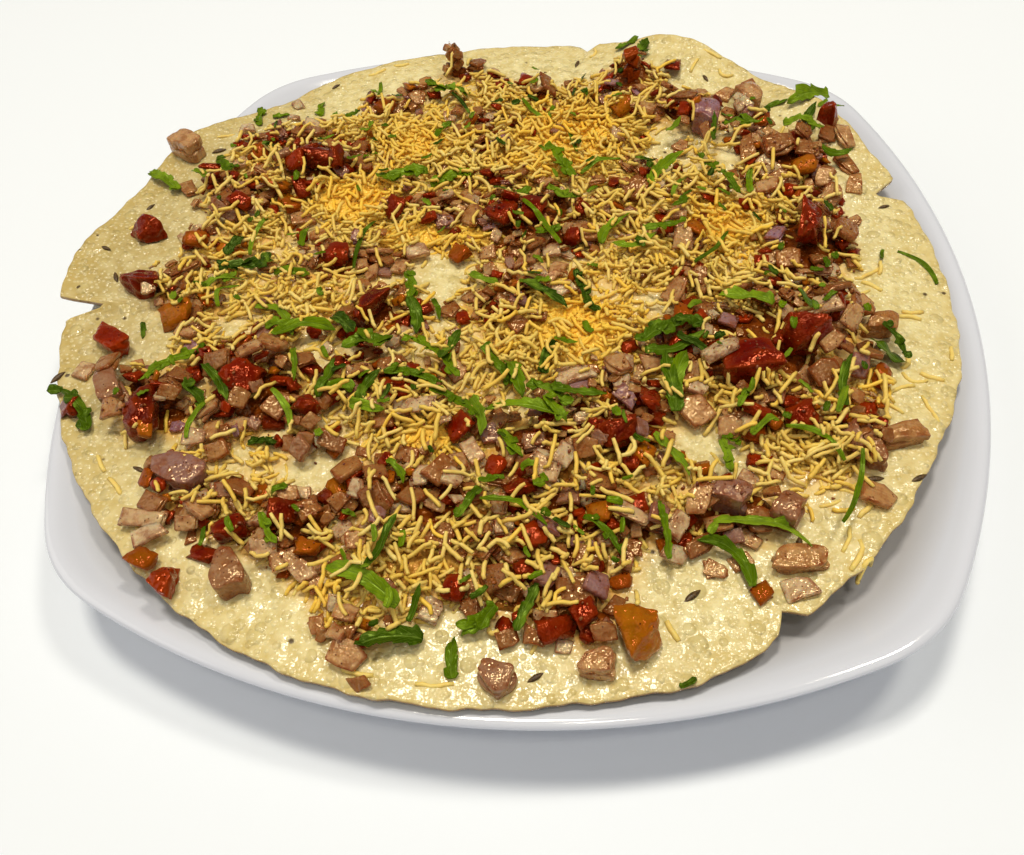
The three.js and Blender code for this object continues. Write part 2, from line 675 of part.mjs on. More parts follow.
const random = seededRandom(23);
const tomatoes = TOMATO_PIECES.map((piece) => makeChunk(piece, onHeap, random, new THREE.DodecahedronGeometry(1)));
const onions = ONION_PIECES.map((piece) => makeChunk(piece, onHeap, random, new THREE.BoxGeometry(1, 1, 1, 2, 2, 1)));
const leaves = LEAF_PIECES.map((piece) => makeLeaf(piece, onHeap));

function numbered(name, geometries, material) {
  return geometries.map((geometry, i) => namedMesh(`${name}_${i + 1}`, geometry, material));
}

const whole = new THREE.Group();
whole.add(plate);
whole.add(namedMesh('papad', fromSolid(mainBody(papad)), FINISH.papad));
whole.add(namedMesh('topping', fromSolid(makeHeap(core, coreMesh, rooms)), FINISH.topping));
whole.add(...numbered('tomato', tomatoes, FINISH.tomato));
whole.add(...numbered('onion', onions, FINISH.onion));
whole.add(...numbered('leaf', leaves, FINISH.leaf));

export default whole;
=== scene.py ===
import math

import bmesh
import bpy
import numpy as np
from mathutils import Matrix, Vector, noise


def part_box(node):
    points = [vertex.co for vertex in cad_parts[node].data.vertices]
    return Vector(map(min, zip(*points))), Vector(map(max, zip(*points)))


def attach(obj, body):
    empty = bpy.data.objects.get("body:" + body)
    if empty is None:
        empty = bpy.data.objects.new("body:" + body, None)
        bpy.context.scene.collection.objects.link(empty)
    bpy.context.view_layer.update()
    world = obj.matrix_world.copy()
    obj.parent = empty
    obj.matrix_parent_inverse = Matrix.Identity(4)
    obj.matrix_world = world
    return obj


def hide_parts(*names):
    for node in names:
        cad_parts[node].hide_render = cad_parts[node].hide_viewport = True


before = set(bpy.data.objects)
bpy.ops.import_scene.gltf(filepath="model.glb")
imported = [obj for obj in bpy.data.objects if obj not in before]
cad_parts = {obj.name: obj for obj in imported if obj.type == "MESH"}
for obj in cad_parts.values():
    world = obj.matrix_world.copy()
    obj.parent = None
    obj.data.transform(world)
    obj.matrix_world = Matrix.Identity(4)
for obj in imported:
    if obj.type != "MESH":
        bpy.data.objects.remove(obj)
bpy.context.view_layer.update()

mm = 0.001
fullTurn = 2 * math.pi


# Camera, floor and light

# place and lens in millimetres, turns in degrees
view = {
    "place": (27.1, -175.8, 195.7),
    "azimuth": 10.455,
    "elevation": 53.36,
    "roll": -5.49,
    "lens": 29.88,
    "sensor": 36,
    "nearest": 10,
}

studio = {
    "floor": 6.0,  # metres
    "floorTone": (0.86, 0.91, 1.0, 1.0),
    "skyTone": (1.0, 0.97, 0.93, 1.0),
    "skyStrength": 0.12,
    "lamps": {
        # place in metres, size in metres, watts, colour
        "key": ((-0.15, 0.22, 1.5), 0.24, 12.0, (1.0, 0.93, 0.77)),
        "second": ((0.5, 0.35, 1.35), 0.18, 5.4, (1.0, 0.93, 0.77)),
        "near": ((0.12, -0.42, 1.4), 0.13, 2.4, (1.0, 0.94, 0.8)),
        "fill": ((0.7, -1.0, 1.3), 1.4, 4.4, (1.0, 0.95, 0.85)),
        "side": ((-1.25, -0.15, 0.85), 1.2, 4.8, (1.0, 0.95, 0.85)),
    },
}


def makeCamera():
    lens = bpy.data.cameras.new("camera")
    lens.lens = view["lens"]
    lens.sensor_width = view["sensor"]
    lens.sensor_fit = "HORIZONTAL"
    lens.clip_start = view["nearest"] * mm
    camera = bpy.data.objects.new("camera", lens)
    turn = Matrix.Rotation(math.radians(view["azimuth"]), 4, "Z")
    turn = turn @ Matrix.Rotation(math.radians(90 - view["elevation"]), 4, "X")
    turn = turn @ Matrix.Rotation(math.radians(view["roll"]), 4, "Z")
    camera.matrix_world = Matrix.Translation(Vector(view["place"]) * mm) @ turn
    bpy.context.scene.collection.objects.link(camera)
    bpy.context.scene.camera = camera


def makeStudio():
    scene = bpy.context.scene
    scene.view_settings.view_transform = "Standard"
    scene.view_settings.look = "None"
    world = bpy.data.worlds.new("room")
    world.use_nodes = True
    sky = world.node_tree.nodes["Background"]
    sky.inputs["Color"].default_value = studio["skyTone"]
    sky.inputs["Strength"].default_value = studio["skyStrength"]
    scene.world = world
    for name, (place, size, watts, colour) in studio["lamps"].items():
        lamp = bpy.data.lights.new(name, "AREA")
        lamp.size = size
        lamp.energy = watts
        lamp.color = colour
        holder = bpy.data.objects.new(name, lamp)
        holder.location = place
        holder.rotation_euler = (-Vector(place)).to_track_quat("-Z", "Y").to_euler()
        scene.collection.objects.link(holder)
    bm = bmesh.new()
    bmesh.ops.create_grid(bm, x_segments=1, y_segments=1, size=studio["floor"] / 2)
    mesh = bpy.data.meshes.new("floor")
    bm.to_mesh(mesh)
    bm.free()
    floor = bpy.data.objects.new("floor", mesh)
    scene.collection.objects.link(floor)
    sockets = {"Base Color": studio["floorTone"], "Roughness": 0.9, "Specular IOR Level": 0.1}
    material, _, _ = newMaterial("palePaper", sockets)
    mesh.materials.append(material)


# Shader helpers

# A colour of 0 to 255 as the linear values that a socket takes
def paint(red, green, blue):
    shares = (red / 255, green / 255, blue / 255)
    linear = [
        share / 12.92 if share <= 0.04045 else ((share + 0.055) / 1.055) ** 2.4 for share in shares
    ]
    return (*linear, 1.0)


def newMaterial(name, sockets):
    material = bpy.data.materials.new(name)
    material.use_nodes = True
    tree = material.node_tree
    shader = tree.nodes["Principled BSDF"]
    for label, value in sockets.items():
        shader.inputs[label].default_value = value
    return material, tree, shader


# A new node with these sockets linked or set
def addNode(tree, kind, sockets=None, **settings):
    node = tree.nodes.new(kind)
    for name, value in settings.items():
        setattr(node, name, value)
    for name, value in (sockets or {}).items():
        if isinstance(value, bpy.types.NodeSocket):
            tree.links.new(value, node.inputs[name])
        else:
            node.inputs[name].default_value = value
    return node


# A texture's Scale for features of this many millimetres
def grain(size):
    return 1 / (size * mm)


def objectPlace(tree):
    return addNode(tree, "ShaderNodeTexCoord").outputs["Object"]


def attribute(tree, name):
    return addNode(tree, "ShaderNodeAttribute", attribute_name=name).outputs["Fac"]


def cloud(tree, vector, size, detail=3.0, roughness=0.5):
    sockets = {"Vector": vector, "Scale": grain(size), "Detail": detail, "Roughness": roughness}
    return addNode(tree, "ShaderNodeTexNoise", sockets).outputs["Fac"]


def ranged(tree, value, low, high, newLow=0.0, newHigh=1.0):
    sockets = {"Value": value, "From Min": low, "From Max": high, "To Min": newLow, "To Max": newHigh}
    return addNode(tree, "ShaderNodeMapRange", sockets).outputs[0]


def calc(tree, operation, first, second=0.0):
    return addNode(tree, "ShaderNodeMath", {0: first, 1: second}, operation=operation).outputs[0]


def times(tree, first, second):
    return calc(tree, "MULTIPLY", first, second)


def clamped(tree, value):
    return addNode(tree, "ShaderNodeClamp", {0: value}).outputs[0]


def mixPaint(tree, mask, first, second):
    return addNode(tree, "ShaderNodeMix", {0: mask, 6: first, 7: second}, data_type="RGBA").outputs[2]


def paintRamp(tree, value, stops):
    node = addNode(tree, "ShaderNodeValToRGB", {"Fac": value})
    band = node.color_ramp
    for element, (place, colour) in zip(band.elements, (stops[0], stops[-1])):
        element.position = place
        element.color = colour
    for place, colour in stops[1:-1]:
        band.elements.new(place).color = colour
    return node.outputs["Color"]


def joinSkin(tree, shader, colour, normal):
    tree.links.new(colour, shader.inputs["Base Color"])
    tree.links.new(normal, shader.inputs["Normal"])


# The sockets of the groups below that aren't plain numbers
socketKinds = {
    "Vector": "NodeSocketVector",
    "Normal": "NodeSocketVector",
    "Color": "NodeSocketColor",
    "Spice": "NodeSocketColor",
    "First": "NodeSocketColor",
    "Second": "NodeSocketColor",
}


def startGroup(name, inputs, outputs):
    group = bpy.data.node_groups.new(name, "ShaderNodeTree")
    for labels, way in ((inputs, "INPUT"), (outputs, "OUTPUT")):
        for label in labels:
            kind = socketKinds.get(label, "NodeSocketFloat")
            group.interface.new_socket(label, in_out=way, socket_type=kind)
    return group, group.nodes.new("NodeGroupInput").outputs, group.nodes.new("NodeGroupOutput").inputs


def useGroup(tree, group, sockets):
    return addNode(tree, "ShaderNodeGroup", sockets, node_tree=group).outputs


# Ground spice: small dark red-brown grains in clusters, over any colour
def makeSpiceGroup():
    group, source, sink = startGroup(
        "spice", ("Vector", "Color", "Spice", "Scale", "Amount"), ("Color",)
    )
    cells = addNode(
        group, "ShaderNodeTexVoronoi", {"Vector": source["Vector"], "Scale": source["Scale"]}
    )
    grains = ranged(group, cells.outputs["Distance"], 0.34, 0.2)
    chance = addNode(group, "ShaderNodeSeparateColor", {0: cells.outputs["Color"]}).outputs[0]
    patches = cloud(group, source["Vector"], 4.0, 2.0)
    share = times(group, source["Amount"], ranged(group, patches, 0.35, 0.7, 0.2, 1.6))
    mask = times(group, grains, calc(group, "LESS_THAN", chance, share))
    group.links.new(mixPaint(group, mask, source["Color"], source["Spice"]), sink["Color"])
    return group


# Uneven colour: two tones of one thing in soft clouds
def makeCloudGroup():
    group, source, sink = startGroup(
        "cloudy", ("Vector", "First", "Second", "Scale", "Sharpness"), ("Color",)
    )
    sockets = {"Vector": source["Vector"], "Scale": source["Scale"], "Detail": 4.0, "Roughness": 0.6}
    clouds = addNode(group, "ShaderNodeTexNoise", sockets).outputs["Fac"]
    centred = times(group, calc(group, "SUBTRACT", clouds, 0.5), source["Sharpness"])
    mask = clamped(group, calc(group, "ADD", centred, 0.5))
    group.links.new(mixPaint(group, mask, source["First"], source["Second"]), sink["Color"])
    return group


# Uneven surface: soft lumps with finer grain on them
def makeLumpGroup():
    group, source, sink = startGroup(
        "lumpy", ("Vector", "Scale", "Height", "Detail", "Normal"), ("Normal",)
    )
    sockets = {
        "Vector": source["Vector"],
        "Scale": source["Scale"],
        "Detail": source["Detail"],
        "Roughness": 0.55,
    }
    lumps = addNode(group, "ShaderNodeTexNoise", sockets).outputs["Fac"]
    sockets = {"Height": lumps, "Distance": source["Height"], "Normal": source["Normal"]}
    group.links.new(addNode(group, "ShaderNodeBump", sockets).outputs["Normal"], sink["Normal"])
    return group


# Blisters of a fried wafer: round domes of uneven size, seen from above
def makeBlisterGroup():
    inputs = ("Vector", "Scale", "Share", "Widest")
    group, source, sink = startGroup("blisters", inputs, ("Mask", "Ring", "Height"))
    sockets = {"Vector": source["Vector"], "Scale": source["Scale"]}
    cells = addNode(group, "ShaderNodeTexVoronoi", sockets, voronoi_dimensions="2D").outputs
    parts = addNode(group, "ShaderNodeSeparateColor", {0: cells["Color"]}).outputs
    chosen = calc(group, "LESS_THAN", parts[0], source["Share"])
    reach = times(group, source["Widest"], ranged(group, parts[1], 0.0, 1.0, 0.45, 1.0))
    off = calc(group, "DIVIDE", cells["Distance"], reach)
    inside = clamped(group, calc(group, "SUBTRACT", 1.0, times(group, off, off)))
    dome = calc(group, "POWER", inside, 1.2)
    ring = times(group, ranged(group, inside, 0.0, 0.2), ranged(group, inside, 0.55, 0.2))
    group.links.new(times(group, ring, chosen), sink["Ring"])
    group.links.new(times(group, ranged(group, inside, 0.0, 0.25), chosen), sink["Mask"])
    group.links.new(times(group, times(group, dome, reach), chosen), sink["Height"])
    return group


spiceGroup = makeSpiceGroup()
cloudGroup = makeCloudGroup()
lumpGroup = makeLumpGroup()
blisterGroup = makeBlisterGroup()


# A low detail gives the smooth waves of a wet skin
def lumpy(tree, vector, size, height, normal=None, detail=3.0):
    start = normal or addNode(tree, "ShaderNodeNewGeometry").outputs["Normal"]
    sockets = {
        "Vector": vector,
        "Scale": grain(size),
        "Height": height * mm,
        "Detail": detail,
        "Normal": start,
    }
    return useGroup(tree, lumpGroup, sockets)["Normal"]


def cloudy(tree, vector, first, second, size, sharpness):
    sockets = {
        "Vector": vector,
        "First": first,
        "Second": second,
        "Scale": grain(size),
        "Sharpness": sharpness,
    }
    return useGroup(tree, cloudGroup, sockets)["Color"]


def spiced(tree, vector, colour, spice, size, amount):
    sockets = {
        "Vector": vector,
        "Color": colour,
        "Spice": spice,
        "Scale": grain(size),
        "Amount": amount,
    }
    return useGroup(tree, spiceGroup, sockets)["Color"]


# Pieces

def addPiece(name, mesh, material, nodes=()):
    piece = bpy.data.objects.new(name, mesh)
    bpy.context.scene.collection.objects.link(piece)
    mesh.materials.append(material)
    mesh.shade_smooth()
    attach(piece, "root")
    if nodes:
        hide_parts(*nodes)
    return piece


# A bmesh in millimetres becomes a mesh in metres
def meshFrom(bm, name):
    bm.transform(Matrix.Scale(mm, 4))
    mesh = bpy.data.meshes.new(name)
    bm.to_mesh(mesh)
    bm.free()
    return mesh


def readVerts(bm):
    return np.array([v.co for v in bm.verts])


def writeVerts(verts, places):
    for vert, place in zip(verts, places):
        vert.co = place


def setTone(mesh, name, values):
    mesh.attributes.new(name, "FLOAT", "POINT").data.foreach_set("value", np.asarray(values, np.float32))


def addChunk(name, bm, local, tone, skin, node):
    bm.verts.index_update()
    rims = rimsOf(bm)
    beside = [max(rims[edge.other_vert(vert).index] for edge in vert.link_edges) for vert in bm.verts]
    mesh = meshFrom(bm, name)
    setTone(mesh, "tone", np.full(len(local), tone))
    setTone(mesh, "rim", np.maximum(rims, 0.6 * np.array(beside)))
    setTone(mesh, "stripe", local[:, 1] * 0.6 + 50 * tone)
    smoothOnce(addPiece(name, mesh, skin, [node]))


def smoothOnce(piece):
    modifier = piece.modifiers.new("smooth", "SUBSURF")
    modifier.levels = 1
    modifier.render_levels = 1


# A profile of points, each a reach and a height, spun round Z and closed where it meets itself
def spunProfile(points, steps, gap):
    bm = bmesh.new()
    line = [bm.verts.new((reach, 0, height)) for reach, height in points]
    edges = [bm.edges.new(pair) for pair in zip(line, line[1:])]
    bmesh.ops.spin(
        bm, geom=line + edges, cent=(0, 0, 0), axis=(0, 0, 1), angle=fullTurn, steps=steps, use_merge=True
    )
    bmesh.ops.remove_doubles(bm, verts=bm.verts, dist=gap)
    return bm


# Plate

plate = {
    "half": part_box("plate")[1].x / mm,
    "rim": 24.0,
    "sideRadius": 204.0,
    "cornerRadius": 37.0,
    "cornerRise": 1.6,
    "steps": 200,
    # share of the half width against height, from the middle of the foot round the lip to the well
    "profile": (
        (0, 0), (0.56, 0), (0.595, 0.05), (0.61, 0.6), (0.63, 1.2), (0.68, 2.4), (0.77, 6.6),
        (0.95, 19.2), (0.99, 21.2), (1, 22.4), (0.998, 23.4), (0.988, 24), (0.972, 23.7),
        (0.95, 22), (0.87, 15.8), (0.77, 9.8), (0.68, 6), (0.58, 4), (0.3, 4), (0, 4),
    ),
}


# Distance from the middle to the outline at a bearing: long side arcs joined by corner arcs
def plateReach(angle):
    reach = plate["sideRadius"] - plate["half"]
    between = plate["sideRadius"] - plate["cornerRadius"]
    corner = (-reach + math.sqrt(2 * between**2 - reach**2)) / 2
    turn = math.atan2(corner, corner + reach)
    joint = math.atan2(
        plate["sideRadius"] * math.sin(turn), plate["sideRadius"] * math.cos(turn) - reach
    )
    folded = np.abs((angle + math.pi / 4) % (math.pi / 2) - math.pi / 4)
    side = -reach * np.cos(folded) + np.sqrt(plate["sideRadius"] ** 2 - (reach * np.sin(folded)) ** 2)
    off = folded - math.pi / 4
    out = math.sqrt(2) * corner
    bend = out * np.cos(off) + np.sqrt(
        np.maximum(plate["cornerRadius"] ** 2 - (out * np.sin(off)) ** 2, 0)
    )
    return np.where(folded < joint, side, bend)


def makePlate():
    points = [(share * plate["half"], height) for share, height in plate["profile"]]
    bm = spunProfile(points, plate["steps"], 0.01)
    places = readVerts(bm)
    angle = np.arctan2(places[:, 1], places[:, 0])
    share = np.hypot(places[:, 0], places[:, 1]) / plate["half"]
    reach = plateReach(angle)
    corner = (reach - plate["half"]) / (plateReach(np.array([math.pi / 4]))[0] - plate["half"])
    places[:, 0] *= reach / plate["half"]
    places[:, 1] *= reach / plate["half"]
    places[:, 2] += np.where(places[:, 2] > 0, plate["cornerRise"] * corner * share**4, 0)
    writeVerts(bm.verts, places)
    bmesh.ops.recalc_face_normals(bm, faces=bm.faces)
    smoothOnce(addPiece("glazedPlate", meshFrom(bm, "glazedPlate"), glazeMaterial(), ["plate"]))
    print("plate made")


def glazeMaterial():
    sockets = {
        "Roughness": 0.1,
        "Specular IOR Level": 0.5,
        "Coat Weight": 0.4,
        "Coat Roughness": 0.04,
    }
    material, tree, shader = newMaterial("whiteGlaze", sockets)
    vector = objectPlace(tree)
    height = addNode(tree, "ShaderNodeSeparateXYZ", {0: vector}).outputs["Z"]
    # Painted reflection: the lip is painted lighter and bluer than the wall, for the light it catches
    lip = ranged(tree, height, 19 * mm, 23 * mm)
    wall = cloudy(tree, vector, paint(186, 184, 188), paint(194, 194, 202), 40, 2.0)
    colour = mixPaint(tree, lip, wall, paint(214, 218, 232))
    joinSkin(tree, shader, colour, lumpy(tree, vector, 6.0, 0.05))
    return material


# Wafer

wafer = {
    "x": -4.8,
    "y": 1.0,
    "radius": 123.5,
    "thick": 1.2,
    "rest": 2.1,
    "crown": 1.2,
    # bearing in degrees, depth, half width in degrees, step
    "tears": ((-170, 13, 1.3, -3.4), (20, 8, 1.6, 3.6), (81, 4, 1.6, -1.5), (-54, 3.5, 1.8, 0.6)),
    # bearing, amount, spread
    "swells": (
        (-177, 2.5, 7), (154, 2.5, 8), (137, -3, 6), (105, -2, 14),
        (62, 2.5, 10), (-28, -1.5, 9), (-64, 2.6, 8), (-132, -1.4, 18),
    ),
    "lifts": (
        (179, 4.6, 17), (152, 4.2, 9), (66, 8, 9), (38, 6.5, 9),
        (52, 1.5, 8), (4, -1.4, 12), (-36, 1.8, 14), (-128, 1.2, 18),
    ),
    "steps": 840,
    "ringNearEdge": 0.92,
    "ringInside": 2.3,
    "fineFrom": 0.72,
    "blisters": 5600,
    "blisterSmallest": 0.9,
    "blisterLargest": 2.7,
    "blisterRise": 0.16,
    "blisterSpan": ((-128, 120), (-122, 124)),
    # heights of its slow wave, its cross wave and the ripple near its edge
    "wave": 0.7,
    "crossWave": 0.35,
    "ripple": 0.35,
}


# Degrees from one bearing to another, -180 to 180
def turnBetween(start, end):
    return (end - start + 180) % 360 - 180


def sumOfBumps(bumps, bearing):
    return sum(by * np.exp(-((turnBetween(at, bearing) / spread) ** 2)) for at, by, spread in bumps)


# Distance from the middle to the uneven, torn edge at a bearing
def waferReach(bearing):
    cut = np.zeros_like(bearing)
    for at, depth, half, _ in wafer["tears"]:
        cut = np.maximum(cut, depth * np.clip(1 - np.abs(turnBetween(at, bearing)) / half, 0, None))
    nibbles = 0.3 * np.sin(bearing * 0.83) + 0.2 * np.sin(bearing * 2.17 + 1) * np.sin(bearing * 0.31)
    return wafer["radius"] + sumOfBumps(wafer["swells"], bearing) - cut + nibbles


# How far the edge stands above or below the middle at a bearing
def waferLift(bearing):
    steps = np.zeros_like(bearing)
    for at, _, half, step in wafer["tears"]:
        off = turnBetween(at, bearing)
        steps += step * np.clip(off / half, -1, 1) / 2 * np.exp(-np.abs(off) / 14)
    return sumOfBumps(wafer["lifts"], bearing) + steps


# Height of the wafer's middle surface, and the share of the way out to its edge
def waferHeight(x, y):
    bearing = np.degrees(np.arctan2(y - wafer["y"], x - wafer["x"]))
    share = np.hypot(x - wafer["x"], y - wafer["y"]) / waferReach(bearing)
    wave = wafer["wave"] * np.sin(x / 16 + 0.6) * np.sin(y / 19 - 0.4)
    wave = wave + wafer["crossWave"] * np.sin((x + 1.4 * y) / 11)
    ripple = (
        wafer["ripple"]
        * np.sin(bearing / 3.1)
        * np.sin(bearing / 7.3 + 2)
        * np.clip(share - 0.8, 0, 0.2)
        / 0.2
    )
    crown = wafer["crown"] * (1 - share**2)
    base = plate["rim"] + wafer["rest"]
    return base + crown + wave * (1 - 0.4 * share) + waferLift(bearing) * share**4 + ripple, share


# Maps over the wafer, with one number for each cell

field = {"half": 136.0, "step": 0.5}
fieldLine = np.arange(-field["half"], field["half"] + field["step"] / 2, field["step"])
fieldX, fieldY = np.meshgrid(fieldLine, fieldLine)
fieldHeight, fieldShare = waferHeight(fieldX, fieldY)


# The row or column of a place
def cellOf(value):
    return np.clip(np.rint((value + field["half"]) / field["step"]).astype(int), 0, len(fieldLine) - 1)


# A map's value at a place, between its four nearest cells
def readField(values, x, y):
    column = np.clip((x + field["half"]) / field["step"], 0, len(fieldLine) - 1.001)
    row = np.clip((y + field["half"]) / field["step"], 0, len(fieldLine) - 1.001)
    left, low = column.astype(int), row.astype(int)
    right, up = column - left, row - low
    lower = values[low, left] * (1 - right) + values[low, left + 1] * right
    upper = values[low + 1, left] * (1 - right) + values[low + 1, left + 1] * right
    return lower * (1 - up) + upper * up


# A window of the map round a spot, as slices
def windowOf(x, y, reach):
    rows = slice(cellOf(np.array(y - reach)), cellOf(np.array(y + reach)) + 1)
    columns = slice(cellOf(np.array(x - reach)), cellOf(np.array(x + reach)) + 1)
    return rows, columns


def stampBlisters():
    rng = np.random.default_rng(3)
    domes = np.zeros_like(fieldX)
    smallest, largest = wafer["blisterSmallest"], wafer["blisterLargest"]
    for _ in range(wafer["blisters"]):
        x, y = (rng.uniform(low, high) for low, high in wafer["blisterSpan"])
        radius = smallest + (largest - smallest) * rng.random() ** 3
        part = windowOf(x, y, radius + 1)
        off = ((fieldX[part] - x) ** 2 + (fieldY[part] - y) ** 2) / radius**2
        dome = wafer["blisterRise"] * radius * np.clip(1 - off, 0, 1)
        domes[part] = np.maximum(domes[part], dome)
    return domes


blisterMap = stampBlisters()
waferTop = np.where(fieldShare <= 1, fieldHeight + wafer["thick"] / 2, 0)


def makeWafer():
    fine = np.arange(1, wafer["fineFrom"], -wafer["ringNearEdge"] / wafer["radius"])
    coarse = np.arange(wafer["fineFrom"], 0.03, -wafer["ringInside"] / wafer["radius"])
    under = np.linspace(0.06, 0.995, 20)
    flag = 0.01  # the profile's height only says which side a point is on
    upper = [(share, flag) for share in [0, *coarse[::-1], *fine[:0:-1], 0.9985]]
    edge = [(1, flag * 0.4), (1, -flag * 0.4)]
    lower = [(share, -flag) for share in [0.9985, *under[::-1], 0]]
    bm = spunProfile(upper + edge + lower, wafer["steps"], 0.0001)
    places = readVerts(bm)
    bearing = np.degrees(np.arctan2(places[:, 1], places[:, 0]))
    share = np.hypot(places[:, 0], places[:, 1])
    side = places[:, 2] / flag
    reach = share * waferReach(bearing)
    x = wafer["x"] + reach * np.cos(np.radians(bearing))
    y = wafer["y"] + reach * np.sin(np.radians(bearing))
    height, _ = waferHeight(x, y)
    domes = readField(blisterMap, x, y) * np.clip((1 - share) * 60, 0, 1)
    fold = np.where(side > 0, domes, -0.5 * domes)
    height = height + side * wafer["thick"] / 2 + fold * (np.abs(side) > 0.9)
    writeVerts(bm.verts, np.column_stack([x, y, height]))
    bmesh.ops.recalc_face_normals(bm, faces=bm.faces)
    mesh = meshFrom(bm, "friedWafer")
    setTone(mesh, "oil", readField(oilMap, x, y) * (side > 0))
    setTone(mesh, "blister", np.clip(domes / 0.5, 0, 1) * (side > 0))
    setTone(mesh, "out", share)
    # The cut rim is marked here so it can be painted dark brown as shade
    setTone(mesh, "edge", np.abs(side) < 0.9)
    addPiece("friedWafer", mesh, waferMaterial(), ["papad"])
    print("wafer made,", len(mesh.polygons), "faces")


def waferMaterial():
    sockets = {
        "Roughness": 0.2,
        "Specular IOR Level": 0.5,
        "Subsurface Weight": 0.1,
        "Subsurface Radius": (1.0, 0.7, 0.25),
        "Subsurface Scale": 0.0012,
    }
    material, tree, shader = newMaterial("friedWafer", sockets)
    vector = objectPlace(tree)
    colour = cloudy(tree, vector, paint(232, 219, 166), paint(216, 198, 134), 22, 2.4)
    speckled = cloudy(tree, vector, paint(240, 228, 176), paint(204, 182, 114), 3.0, 4.0)
    colour = mixPaint(tree, 0.6, colour, speckled)
    side = addNode(tree, "ShaderNodeSeparateXYZ", {0: vector}).outputs["X"]
    # Painted shade: the wafer is darkened towards its left, where less light falls
    leftShade = ranged(tree, side, -70 * mm, -118 * mm, 0.0, 0.7)
    colour = mixPaint(tree, leftShade, colour, paint(170, 146, 86))
    nearEdge = ranged(tree, attribute(tree, "out"), 0.9, 1.0, 0.0, 0.45)
    colour = mixPaint(tree, nearEdge, colour, paint(206, 178, 102))
    large, middle, small = (
        useGroup(
            tree,
            blisterGroup,
            {"Vector": vector, "Scale": grain(size), "Share": share, "Widest": widest},
        )
        for size, share, widest in ((6.5, 0.62, 0.36), (3.1, 0.6, 0.42), (1.4, 0.7, 0.46))
    )
    for mask, share, tone in (
        (attribute(tree, "blister"), 0.35, paint(246, 234, 186)),
        (small["Mask"], 0.3, paint(248, 238, 190)),
        (large["Mask"], 0.35, paint(208, 190, 126)),
        (large["Ring"], 0.25, paint(186, 166, 104)),
    ):
        colour = mixPaint(tree, times(tree, mask, share), colour, tone)
    stain = times(
        tree, attribute(tree, "oil"), ranged(tree, cloud(tree, vector, 7.0), 0.34, 0.6, 0.35, 0.95)
    )
    oily = cloudy(tree, vector, paint(236, 184, 84), paint(220, 156, 50), 3.0, 3.0)
    colour = mixPaint(tree, stain, colour, oily)
    colour = spiced(tree, vector, colour, paint(96, 78, 52), 2.6, 0.02)
    # Painted shade: the wafer's thin cut rim is painted dark brown
    colour = mixPaint(tree, attribute(tree, "edge"), colour, paint(150, 108, 46))
    height = times(tree, large["Height"], 2.4 * mm)
    for blisters, rise in ((middle, 1.4), (small, 0.5)):
        height = calc(tree, "ADD", height, times(tree, blisters["Height"], rise * mm))
    bump = addNode(tree, "ShaderNodeBump", {"Height": height, "Distance": 1.0, "Strength": 0.8})
    joinSkin(tree, shader, colour, lumpy(tree, vector, 2.4, 0.36, bump.outputs["Normal"], 2.0))
    return material


# Where things lie on the wafer: x, y, reach along, reach across, turn and strength of each patch

